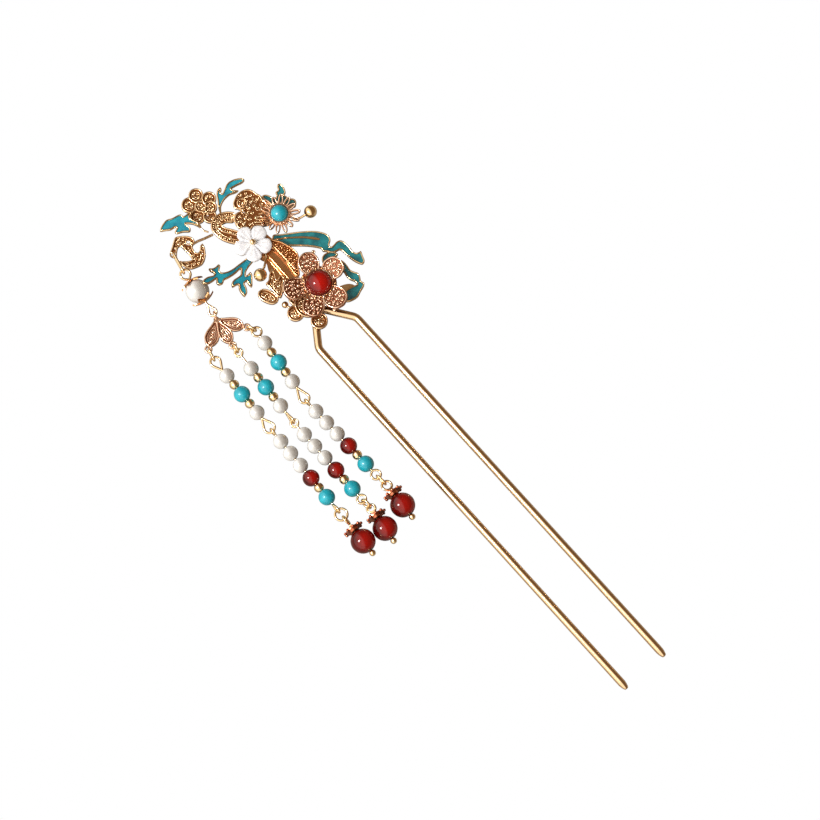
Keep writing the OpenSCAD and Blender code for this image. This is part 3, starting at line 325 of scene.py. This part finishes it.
def addScroll(shape, centre, radius, start, wire, hand, lay):
    # A C-scroll: wire coiled in towards a granule at its middle
    turns = scroll["turns"] if radius > scroll["large"] else scroll["smallTurns"]
    path = []
    for i in range(scroll["steps"] + 1):
        t = i / scroll["steps"]
        r = (radius - wire) * (1 - scroll["closing"] * t)
        a = start + hand * 2 * math.pi * turns * t
        path.append(lay @ (centre + Vector((r * math.cos(a), r * math.sin(a), 0))))
    addTube(shape, path, wire, sides=5)
    addGrain(shape, lay @ (centre + Vector((0, 0, 0.03))), wire * scroll["grain"], 6, 4)


def meshTree(name):
    return BVHTree.FromObject(nodes[name], bpy.context.evaluated_depsgraph_get())


def leaning(centre, heading, tilt, height):
    # Lay of a piece that tilts up along a heading: flat millimetres to row millimetres
    turn = Matrix.Rotation(math.radians(heading) - plan["turn"], 4, "Z")
    return Matrix.Translation(toRow(centre[0], centre[1], height)) @ turn @ Matrix.Rotation(
        -math.radians(tilt), 4, "Y")


def levelBelow(tree, lay, x, y):
    start = lay @ Vector((x, y, 30))
    hit = tree.ray_cast(start * mm, lay.to_3x3() @ Vector((0, 0, -1)))
    return (lay.inverted() @ (hit[0] / mm)).z if hit[0] else None


def recessLoops(name, level, lay):
    # Edges of the face at this height, each as a closed list of points in the panel's own flat frame; the
    # outline runs anticlockwise and recesses and holes run clockwise
    mesh = nodes[name].data
    mesh.calc_loop_triangles()
    back = lay.inverted()
    flat = [back @ (v.co / mm) for v in mesh.vertices]
    key = {}
    points = []

    def index(co):
        k = (round(co.x, 3), round(co.y, 3))
        if k not in key:
            key[k] = len(points)
            points.append(Vector((k[0], k[1], level)))
        return key[k]

    edges = {}
    for tri in mesh.loop_triangles:
        corners = [flat[v] for v in tri.vertices]
        if any(abs(c.z - level) > 0.02 for c in corners):
            continue
        ids = [index(c) for c in corners]
        if len(set(ids)) < 3 or (corners[1] - corners[0]).cross(corners[2] - corners[0]).z < -0.001:
            continue
        for a, b in ((0, 1), (1, 2), (2, 0)):
            edges[(ids[a], ids[b])] = True
    following = {}
    for a, b in edges:
        if (b, a) not in edges:
            following.setdefault(a, []).append(b)
    loops = []
    while following:
        path = [next(iter(following))]
        while path[-1] in following:
            onward = following[path[-1]].pop()
            if not following[path[-1]]:
                del following[path[-1]]
            if onward in path:
                # A loop has closed; what came before it goes on
                at = path.index(onward)
                if len(path) - at > 4:
                    loops.append([points[i] for i in path[at:]])
                path = path[:at]
            path.append(onward)
    return loops


def loopArea(loop):
    return sum(loop[i - 1].x * p.y - p.x * loop[i - 1].y for i, p in enumerate(loop)) / 2


def spreadLoop(loop, step):
    # Even spacing along a closed loop
    lengths = [(loop[(i + 1) % len(loop)] - p).length for i, p in enumerate(loop)]
    total = sum(lengths)
    count = max(8, int(total / step))
    result = []
    i, passed = 0, 0.0
    for k in range(count):
        want = total * k / count
        while passed + lengths[i] < want:
            passed += lengths[i]
            i += 1
        t = (want - passed) / lengths[i] if lengths[i] > 0 else 0
        result.append(loop[i].lerp(loop[(i + 1) % len(loop)], t))
    return result


def shiftLoop(loop, out):
    # Moves a recess's edge out over its rim, or inwards if the number is negative, and drops what folds over
    result = []
    count = len(loop)
    for i, p in enumerate(loop):
        t = (p - loop[i - 1]).normalized() + (loop[(i + 1) % count] - p).normalized()
        if t.length < 0.3:
            continue
        t.normalize()
        moved = p + Vector((-t.y, t.x, 0)) * out
        if min((moved - q).length for q in loop) > abs(out) - 0.05:
            result.append(moved)
    return result


def wireLoop(shape, loop, lay, radius, height, sides=8):
    addTube(shape, [lay @ Vector((p.x, p.y, height)) for p in loop], radius, closed=True, sides=sides)


def recesses(name, ground, lay):
    # Outlines of the recessed floors, turned clockwise so that out is over the rim
    smallest, step = 0.6, 0.28
    return [spreadLoop(l[::-1], step) for l in recessLoops(name, ground, lay) if loopArea(l) > smallest]


def rimWires(shape, name, ground, lay, width, radius, height):
    for loop in recesses(name, ground, lay):
        wireLoop(shape, shiftLoop(loop, width / 2), lay, radius, height)


def packCircles(tree, lay, loop, level, sizes, keep, pick, taken):
    # Fills a recess's floor with circles of these radii, in the order given, clear of its edge by the kept
    # distance
    tries = 500
    xs, ys = [p.x for p in loop], [p.y for p in loop]
    circles = list(taken)
    for radius in sizes:
        for _ in range(tries):
            x, y = pick.uniform(min(xs), max(xs)), pick.uniform(min(ys), max(ys))
            if any((x - c[0]) ** 2 + (y - c[1]) ** 2 < (radius + c[2] - 0.04) ** 2 for c in circles):
                continue
            if min((x - p.x) ** 2 + (y - p.y) ** 2 for p in loop) < (radius + keep - 0.05) ** 2:
                continue
            z = levelBelow(tree, lay, x, y)
            if z is None or abs(z - level) < 0.03:
                edge = [levelBelow(tree, lay, x + radius * math.cos(a), y + radius * math.sin(a))
                        for a in (0.3, 1.87, 3.44, 5.01)]
                if all(v is None or v < level + 0.03 for v in edge) and any(v is not None for v in edge):
                    circles.append((x, y, radius))
    return circles


# Sizes of the panels' small parts
piercing = {"largest": 0.5, "room": 0.4, "coil": 0.33, "wire": 0.14, "bridge": 0.11, "grain": 0.16}
panelRim = {"out": 0.17, "radius": 0.2, "sunk": 0.03}
granule = {"largest": 0.29, "share": 0.95, "rise": 0.4}


def addLadder(shape, tree, loop, lay, ground, reach, wire):
    # Short bars from the rim to a wire along the middle of the band
    for i in range(0, len(loop), 2):
        t = (loop[(i + 1) % len(loop)] - loop[i - 1]).normalized()
        stop = loop[i] + Vector((t.y, -t.x, 0)) * reach
        z = levelBelow(tree, lay, stop.x, stop.y)
        if z is not None and z < ground + 0.03:
            bar = [lay @ Vector((q.x, q.y, ground + wire)) for q in (loop[i], stop)]
            addTube(shape, bar, wire, sides=5)


def addBridge(shape, hole, lay, ground, pick):
    # A coil round a piercing, with a granule on a wire across it
    size = piercing["coil"]
    coil = [lay @ Vector((hole.x + size * math.cos(a), hole.y + size * math.sin(a), ground + 0.13))
            for a in [k * math.pi / 6 for k in range(12)]]
    addTube(shape, coil, piercing["wire"], closed=True, sides=6)
    a = pick.uniform(0, 3.14)
    bridge = Vector((math.cos(a), math.sin(a), 0)) * size
    middle = Vector((hole.x, hole.y, ground + 0.12))
    addTube(shape, [lay @ (middle - bridge), lay @ (middle + bridge)], piercing["bridge"], sides=5)
    addGrain(shape, lay @ (middle + Vector((0, 0, 0.05))), piercing["grain"], 6, 4)


def dressPanel(shape, name, look, lay=Matrix()):
    # Rim wires, inner wires and a filling of scrolls and granules for each recess of a panel
    ground, top = look["ground"], look["top"]
    tree = meshTree(name)
    pick = random.Random(look["seed"])
    wire = look.get("wire", 0.11)
    holes = []
    for loop in recessLoops(name, ground, lay):
        if -piercing["largest"] < loopArea(loop) < 0:
            holes.append(sum(loop, Vector()) / len(loop))
    for loop in recesses(name, ground, lay):
        wireLoop(shape, shiftLoop(loop, panelRim["out"]), lay, panelRim["radius"], top - panelRim["sunk"])
        keep = 0.0
        for inset in look.get("rings", ()):
            inner = shiftLoop(loop, -inset)
            if len(inner) > 8:
                wireLoop(shape, inner, lay, wire, ground + wire * 0.9, 6)
                keep = inset + wire * 0.5
        if "bars" in look:
            addLadder(shape, tree, loop, lay, ground, look["bars"], wire)
            continue
        taken = [(h.x, h.y, piercing["room"]) for h in holes]
        circles = packCircles(tree, lay, loop, ground, look["sizes"], keep, pick, taken)
        for x, y, radius in circles[len(taken):]:
            if radius < granule["largest"]:
                middle = Vector((x, y, ground + radius * granule["rise"]))
                addGrain(shape, lay @ middle, radius * granule["share"], 7, 5)
            else:
                addScroll(shape, Vector((x, y, ground + wire * 0.8)), radius, pick.uniform(0, 6.28), wire,
                          pick.choice((-1, 1)), lay)
    for h in holes:
        addBridge(shape, h, lay, ground, pick)


# Finishes of the CAD nodes
cadMaterials = {
    "hair_fork": gold["fork"], "filigree_blossom": gold["filigree"], "filigree_loop": gold["filigree"],
    "hook_plaque": gold["filigree"], "butterfly_wing": gold["filigree"], "small_butterfly": gold["filigree"],
    "under_flower": gold["filigree"], "fan_plaque": gold["filigree"], "daisy": gold["rose"],
    "red_flower": gold["oldRose"], "pearl_cap_top": gold["orange"], "pearl_cap_bottom": gold["orange"],
    "gold_leaf": gold["orange"], "filigree_feather": gold["orange"],
    "stamen_right": gold["tray"], "stamen_lower": gold["tray"], "shell_pin": gold["wire"],
    "hanging_ring": gold["wire"], "pearl_pin": gold["wire"],
    "daisy_stone": stone["turquoise"], "red_stone": stone["redStone"], "shell_flower": stone["shell"],
    "large_pearl": stone["pearl"],
}
for name in ("top_leaf", "left_leaf", "back_leaf", "sprig", "long_ribbon", "short_ribbon"):
    cadMaterials[name] = gold["tray"]
    shade = "dark" if name in ("back_leaf", "long_ribbon", "short_ribbon") else "teal"
    cadMaterials[name + "_enamel"] = enamel[shade]
for side in ("left", "centre", "right"):
    cadMaterials[side + "_pearls"] = stone["pearl"]
    cadMaterials[side + "_turquoise"] = stone["turquoise"]
    cadMaterials[side + "_agate"] = stone["agate"]
    cadMaterials[side + "_drop"] = stone["agate"]
    cadMaterials[side + "_drop_cap"] = gold["copper"]
    for part in ("_spacers", "_wires", "_drop_pin"):
        cadMaterials[side + part] = gold["wire"]
for name, material in cadMaterials.items():
    slots = nodes[name].material_slots
    if slots:
        for s in slots:
            s.material = material
    else:
        nodes[name].data.materials.append(material)
print("CAD nodes finished:", len(cadMaterials))

# Filigree panels: rim wires, inner wires, scrolls and granules on the ground
filigree = {
    "filigree_blossom": {"ground": 1.6, "top": 1.95, "rings": (0.5,), "sizes": (0.42, 0.3, 0.2), "seed": 11},
    "filigree_loop": {"ground": 2.6, "top": 2.95, "rings": (0.82,), "bars": 0.72, "seed": 12, "wire": 0.14},
    "hook_plaque": {"ground": 2.6, "top": 2.95, "sizes": (0.5, 0.4, 0.3, 0.22), "seed": 13},
    "butterfly_wing": {"ground": 3.6, "top": 3.95, "sizes": (0.66, 0.52, 0.42, 0.32, 0.22), "seed": 14},
    "small_butterfly": {"ground": 3.6, "top": 3.95, "rings": (0.45,), "sizes": (0.4, 0.3, 0.2), "seed": 15},
    "under_flower": {"ground": 2.6, "top": 2.95, "rings": (0.5,), "sizes": (0.5, 0.4, 0.3, 0.2), "seed": 16},
    "filigree_feather": {"ground": 3.6, "top": 3.95, "sizes": (0.36, 0.28, 0.2), "seed": 17},
    "fan_plaque": {"ground": 1.75, "top": 2.1, "rings": (0.42, 0.84), "sizes": (0.28, 0.2), "seed": 18,
                   "wire": 0.12},
}
panelGold = {}
for name, look in filigree.items():
    kind = "orange" if name == "filigree_feather" else "rose" if name == "fan_plaque" else "filigree"
    title = "%s at %.2f mm" % (kind, look["ground"])
    if title not in panelGold:
        # Given a level, this gold paints shade on the panel's floor
        panelGold[title] = goldMaterial("gilt copper, " + title, goldLooks[kind], look["ground"])
    for held in nodes[name].material_slots:
        held.material = panelGold[title]
    shape = newShape()
    dressPanel(shape, name, look)
    addPiece(name + "_scrollwork", shape, panelGold[title])
    print("scrollwork:", name, len(shape["faces"]))

# Enamel trays: the wall's top is rounded by a wire
sprig = {"root": (2.3, -5.2), "heading": 212.0, "rise": 12.0, "height": 3.15}
trayRim = {"deep": 0.45, "wall": 0.3, "radius": 0.19, "sunk": 0.05}
turnBack = Matrix.Rotation(math.radians(-sprig["heading"]), 4, "Z") @ Matrix.Translation(
    Vector((-sprig["root"][0], -sprig["root"][1], 0)))
sprigLay = leaning(sprig["root"], sprig["heading"], sprig["rise"], sprig["height"]) @ turnBack
trays = {
    "top_leaf": {"top": 2.0}, "left_leaf": {"top": 3.0}, "back_leaf": {"top": 3.0},
    "long_ribbon": {"top": 2.0}, "short_ribbon": {"top": 2.0}, "sprig": {"top": 0.85, "lay": sprigLay},
}
for name, look in trays.items():
    shape = newShape()
    rimWires(shape, name, look["top"] - trayRim["deep"], look.get("lay", Matrix()), trayRim["wall"],
             trayRim["radius"], look["top"] - trayRim["sunk"])
    addPiece(name + "_rim", shape, gold["tray"])
print("tray rims made")

# Fork: one smooth wire on the CAD model's centre line
fork = {"x": 7.876, "z": 1.015, "half": 6.25, "bend": 31.881, "bendRadius": 3.0, "apexRadius": 2.2,
        "shoulder": 35.0, "prong": 116.0, "wire": 1.0,
        "taper": ((0.0, 0.38), (0.08, 0.5), (0.35, 0.66), (1.0, 0.86), (1.8, 0.985), (2.4, 1.0))}


def forkPath():
    # Half of the centre line and its radii, from a prong's end up to the apex, for the right-hand side
    turn = math.radians(fork["shoulder"])
    bendLength = fork["bendRadius"] * math.tan(turn / 2)
    apexY = fork["bend"] + fork["half"] / math.tan(turn)
    end = fork["bend"] - fork["prong"]
    path, radii = [], []
    for back, r in fork["taper"]:
        path.append((fork["half"], end + back))
        radii.append(r)
    for i in range(1, 24):
        path.append((fork["half"], end + back + (fork["prong"] - bendLength - back) * i / 23))
    for i in range(1, 13):
        a = turn * i / 12
        path.append((fork["half"] - fork["bendRadius"] * (1 - math.cos(a)),
                     fork["bend"] - bendLength + fork["bendRadius"] * math.sin(a)))
    middle = apexY - fork["apexRadius"] / math.sin(turn)
    start = path[-1]
    stop = (fork["apexRadius"] * math.cos(turn), middle + fork["apexRadius"] * math.sin(turn))
    for i in range(1, 9):
        path.append((start[0] + (stop[0] - start[0]) * i / 8, start[1] + (stop[1] - start[1]) * i / 8))
    for i in range(1, 9):
        a = turn + (math.pi / 2 - turn) * i / 8
        path.append((fork["apexRadius"] * math.cos(a), middle + fork["apexRadius"] * math.sin(a)))
    return path, radii + [fork["wire"]] * (len(path) - len(radii))


half, radii = forkPath()
line = half + [(-x, y) for x, y in reversed(half[:-1])]
shape = newShape()
addTube(shape, [Vector((fork["x"] + x, y, fork["z"])) for x, y in line], radii + radii[-2::-1], sides=40)
addPiece("hair_fork_polished", shape, gold["fork"], ("hair_fork",))


# Beads, set where the CAD beads are

def solidCentres(name):
    # Middle of each separate solid of a node
    mesh = nodes[name].data
    owner = {}
    group = []

    def find(i):
        while group[i] != i:
            group[i] = group[group[i]]
            i = group[i]
        return i

    ids = []
    for v in mesh.vertices:
        k = (round(v.co.x / mm, 3), round(v.co.y / mm, 3), round(v.co.z / mm, 3))
        if k not in owner:
            owner[k] = len(group)
            group.append(len(group))
        ids.append(owner[k])
    for face in mesh.polygons:
        first = find(ids[face.vertices[0]])
        for v in face.vertices[1:]:
            group[find(ids[v])] = first
    boxes = {}
    for k, i in owner.items():
        low, high = boxes.setdefault(find(i), ([1e9] * 3, [-1e9] * 3))
        for c in range(3):
            low[c] = min(low[c], k[c])
            high[c] = max(high[c], k[c])
    return [(Vector(low) + Vector(high)) / 2 for low, high in boxes.values()]


def addBead(shape, centre, along, diameter, bore, wobble, seed, segments=28, rings=18):
    # A ball turned round its bore, a little off round
    pick = random.Random(seed)
    waves = [(pick.uniform(0.7, 1.3), pick.uniform(0, 6.3), pick.uniform(0, 6.3)) for _ in range(3)]
    side = along.orthogonal().normalized()
    over = along.cross(side)
    start = len(shape["points"])
    mouth = math.asin(bore / diameter)
    rows = []
    for i in range(rings + 1):
        a = mouth + (math.pi - 2 * mouth) * i / rings
        rows.append((-math.cos(a) * diameter / 2, math.sin(a) * diameter / 2))
    edge = rows[-1][0]
    rows = [(-edge * 0.9, bore / 2 * 0.97)] + rows + [(edge * 0.9, bore / 2 * 0.97)]
    for x, r in rows:
        for k in range(segments):
            b = 2 * math.pi * k / segments
            swell = sum(w[0] * math.sin(2 * b + w[1]) * math.cos(x * 1.3 + w[2]) for w in waves) / 3
            n = 1 - wobble * (0.5 + 0.5 * swell)
            across = side * (r * n * math.cos(b)) + over * (r * n * math.sin(b))
            shape["points"].append(centre + along * (x * n) + across)
    count = len(rows)
    for i in range(count):
        for k in range(segments):
            n = (k + 1) % segments
            a, b = start + i * segments, start + ((i + 1) % count) * segments
            shape["faces"].append((a + k, b + k, b + n, a + n))


beads = {
    "bore": 0.96,
    "kinds": {
        "pearls": {"d": 3.85, "wobble": 0.02, "stone": "pearl", "slot": "pearl"},
        "turquoise": {"d": 4.2, "wobble": 0.008, "stone": "turquoise", "slot": "turquoise"},
        "agate": {"d": 4.3, "wobble": 0.006, "stone": "agate", "slot": "agate"},
        "drop": {"d": 6.3, "wobble": 0.006, "stone": "agate", "slot": "agate"},
    },
}
for side in ("left", "centre", "right"):
    row = []
    for kind in ("pearls", "turquoise", "agate", "spacers", "drop", "drop_cap"):
        row += [(c, kind) for c in solidCentres(side + "_" + kind)]
    row.sort(key=lambda item: -item[0].y)
    for kind, look in beads["kinds"].items():
        shape = newShape()
        for i, (centre, own) in enumerate(row):
            if own != kind:
                continue
            others = [c for c, _ in row[:i] + row[i + 1:]]
            near = min(others, key=lambda c: (c - centre).length)
            along = (near - centre).normalized()
            if along.y > 0:
                along = -along
            addBead(shape, centre, along, look["d"], beads["bore"], look["wobble"], i * 7 + len(side))
        name = side + "_" + kind
        addPiece(name + "_polished", shape, stone[look["stone"]], (name,))
print("beads strung")

# The pendant's large pearl, which follows its pin
pearl = {"centre": (-10.75, -13.95, 3.03), "heading": -54.0, "pitch": 5.5, "d": 6.0, "wobble": 0.012}
a, b = math.radians(pearl["heading"]), math.radians(pearl["pitch"])
along = toRow(math.cos(b) * math.cos(a), math.cos(b) * math.sin(a)) - toRow(0, 0, math.sin(b))
shape = newShape()
addBead(shape, toRow(*pearl["centre"]), along.normalized(), pearl["d"], beads["bore"], pearl["wobble"], 5, 40,
        26)
addPiece("large_pearl_polished", shape, stone["pearl"], ("large_pearl",))

# Shell flower, carved: five rounded petals with fine rays, hollow towards the middle
shell = {"centre": (3.05, -1.95), "base": 4.30, "thick": 1.3, "reach": 4.9, "hole": 0.42, "rings": 26,
         "around": 150}


def shellEdge(angle):
    k = math.cos(math.radians(5 * (angle - 60)))
    return shell["reach"] * (0.93 + 0.07 * k) - 0.75 * max(0.0, -k) ** 6


def shellHeight(angle, t):
    inPetal = (angle - 60 + 36) % 72 - 36
    seam = math.exp(-((abs(inPetal) - 36) / (3.0 + 5.0 * (1 - t))) ** 2)
    lap = 0.12 * (inPetal / 36) * min(1.0, t * 1.6)
    rays = 0.035 * math.sin(math.radians(inPetal * 17)) * min(1.0, t * 2) * (1 - t ** 6)
    dome = 1.0 - 0.28 * (1 - t) ** 1.5 - 0.34 * t ** 7
    return shell["thick"] * dome - 0.42 * seam * min(1.0, t * 3) + lap * 0.8 + rays - 0.1


def shellPoint(k, reach, height):
    a = 2 * math.pi * k / shell["around"]
    x, y = shell["centre"]
    return toRow(x + reach * math.cos(a), y + reach * math.sin(a), height)


shape = newShape()
turns = [360 * k / shell["around"] for k in range(shell["around"])]
for i in range(shell["rings"] + 1):
    t = i / shell["rings"]
    for k, angle in enumerate(turns):
        r = shell["hole"] + (shellEdge(angle) - shell["hole"]) * t
        shape["points"].append(shellPoint(k, r, shell["base"] + shellHeight(angle, t)))
shape["points"] += [shellPoint(k, shellEdge(angle) - 0.06, shell["base"]) for k, angle in enumerate(turns)]
shape["points"] += [shellPoint(k, shell["hole"], shell["base"]) for k in range(shell["around"])]
rows = shell["rings"] + 3
for i in range(rows):
    for k in range(shell["around"]):
        n = (k + 1) % shell["around"]
        a, b = i * shell["around"], ((i + 1) % rows) * shell["around"]
        shape["faces"].append((a + k, b + k, b + n, a + n))
addPiece("shell_flower_carved", shape, stone["shell"], ("shell_flower",))
print("shell carved")

# Daisy: a wire loop on each petal, and a granulated collar round the stone
daisy = {"centre": (9.7, 5.7), "petals": 14, "reach": 5.0, "vary": 0.35, "start": 8.0, "half": 0.5,
         "wire": 0.17, "rise": 4.73, "lift": 0.16, "foot": 2.5}
collar = {"count": 22, "ring": 2.62, "height": 5.57, "radius": 0.2}
shape = newShape()
for i in range(daisy["petals"]):
    reach = daisy["reach"] + daisy["vary"] * math.cos(math.radians(i * 137))
    turn = math.radians(i * 360 / daisy["petals"] + daisy["start"])
    path = []
    for k in range(24):
        a = 2 * math.pi * k / 24
        x = reach / 2 + 0.9 + (reach / 2 - 1.0) * math.cos(a)
        y = daisy["half"] * math.sin(a)
        path.append(toRow(daisy["centre"][0] + x * math.cos(turn) - y * math.sin(turn),
                          daisy["centre"][1] + x * math.sin(turn) + y * math.cos(turn),
                          daisy["rise"] + daisy["lift"] * (x - daisy["foot"])))
    addTube(shape, path, daisy["wire"], closed=True, sides=7)


def addGrainRing(shape, centre, ring, segments, rings):
    # Granules evenly round a centre; the turn is a share of one step
    for k in range(ring["count"]):
        a = 2 * math.pi * (k + ring.get("turn", 0)) / ring["count"]
        addGrain(shape, toRow(centre[0] + ring["ring"] * math.cos(a), centre[1] + ring["ring"] * math.sin(a),
                              ring["height"]), ring["radius"], segments, rings)


addGrainRing(shape, daisy["centre"], collar, 8, 6)
addPiece("daisy_wirework", shape, gold["rose"])

# Red flower: rims and scrolls on each lifted petal, and two rings of granules round the stone
redFlower = {
    "centre": (19.6, -12.5), "lift": 10.0, "base": 4.15, "headings": (116, 47, -42, -101, -165),
    "look": {"ground": 0.45, "top": 0.8, "sizes": (0.62, 0.5, 0.4, 0.3, 0.2), "seed": 30, "wire": 0.15},
    "outer": {"count": 16, "ring": 4.17, "height": 5.03, "radius": 0.44},
    "inner": {"count": 16, "ring": 3.72, "height": 5.65, "radius": 0.26, "turn": 0.5},
}
shape = newShape()
for heading in redFlower["headings"]:
    lay = leaning(redFlower["centre"], heading, redFlower["lift"], redFlower["base"])
    dressPanel(shape, "red_flower", redFlower["look"], lay)
addPiece("red_flower_scrollwork", shape, gold["rose"])
shape = newShape()
addGrainRing(shape, redFlower["centre"], redFlower["outer"], 12, 8)
addGrainRing(shape, redFlower["centre"], redFlower["inner"], 10, 7)
addPiece("red_flower_granules", shape, gold["orange"])
print("flowers dressed")

# Floor, light and camera
floor = {"size": 3000.0, "below": 0.05, "colour": "#ffffff", "bounce": "#9a958e", "glow": 1.0}
bpy.ops.mesh.primitive_plane_add(size=floor["size"] * mm, location=(0, 0, -floor["below"] * mm))
ground = bpy.context.object
ground.name = "floor"
material, tree, output, place = startMaterial("white paper")
# Overexposed white paper, as in the photograph, that throws back no more light than grey card
diffuse = addNode(tree, "ShaderNodeBsdfDiffuse", {"Color": hexColour(floor["bounce"])})
glow = addNode(tree, "ShaderNodeEmission", {"Color": hexColour(floor["colour"]), "Strength": floor["glow"]})
seen = addNode(tree, "ShaderNodeLightPath").outputs["Is Camera Ray"]
both = addNode(tree, "ShaderNodeMixShader", {0: seen})
tree.links.new(diffuse.outputs[0], both.inputs[1])
tree.links.new(glow.outputs[0], both.inputs[2])
tree.links.new(both.outputs[0], output.inputs[0])
ground.data.materials.append(material)

lights = [
    {"name": "key", "from": (-400, -130, 480), "size": 150, "power": 3.0, "shiny": True},
    {"name": "soft top", "from": (0, 40, 700), "size": 500, "power": 0.9, "shiny": False},
]
aimPoint = toRow(*plan["middle"])
for light in lights:
    data = bpy.data.lights.new(light["name"], "AREA")
    data.size = light["size"] * mm
    data.energy = light["power"]
    lamp = bpy.data.objects.new(light["name"], data)
    lamp.visible_glossy = light["shiny"]
    bpy.context.scene.collection.objects.link(lamp)
    x, y, z = light["from"]
    spot = toRow(plan["middle"][0] + x, plan["middle"][1] + y, z)
    lamp.location = spot * mm
    lamp.rotation_euler = (aimPoint - spot).to_track_quat("-Z", "Y").to_euler()

# The room: a wide bright side towards the key, falling off to dark on the other
room = {"towards": (-0.87, -0.45, 0.2), "dark": "#66503a", "bright": "#fff8ee",
        "power": 1.45, "from": 0.05, "to": 0.4}
world = bpy.data.worlds.new("studio")
bpy.context.scene.world = world
world.use_nodes = True
world.node_tree.nodes.clear()
tree = world.node_tree
way = (toRow(*room["towards"]) - toRow(0, 0)).normalized()
ray = addNode(tree, "ShaderNodeTexCoord").outputs["Generated"]
dot = addNode(tree, "ShaderNodeVectorMath", {0: ray, 1: way}, operation="DOT_PRODUCT")
side = rangeOf(tree, dot.outputs["Value"], room["from"], room["to"], interpolation_type="SMOOTHSTEP")
walls = mixOf(tree, side, hexColour(room["dark"]), hexColour(room["bright"]))
back = addNode(tree, "ShaderNodeBackground", {"Color": walls, "Strength": room["power"]})
out = addNode(tree, "ShaderNodeOutputWorld")
tree.links.new(back.outputs[0], out.inputs[0])

camera = {"distance": 1800.0, "elevation": 75.0, "field": 205.0, "sensor": 36.0}
data = bpy.data.cameras.new("camera")
data.sensor_width = camera["sensor"]
data.lens = camera["sensor"] * camera["distance"] / camera["field"]
data.clip_start = 0.01
eye = bpy.data.objects.new("camera", data)
bpy.context.scene.collection.objects.link(eye)
up = math.radians(camera["elevation"])
spot = toRow(plan["middle"][0], plan["middle"][1] - camera["distance"] * math.cos(up),
             camera["distance"] * math.sin(up))
eye.location = spot * mm
forward = (aimPoint - spot).normalized()
right = (toRow(1, 0) - toRow(0, 0)).normalized()
over = right.cross(forward).normalized()
eye.rotation_euler = Matrix((right, over, -forward)).transposed().to_euler()
bpy.context.scene.camera = eye
bpy.context.scene.view_settings.view_transform = "Standard"
print("camera and lights set")
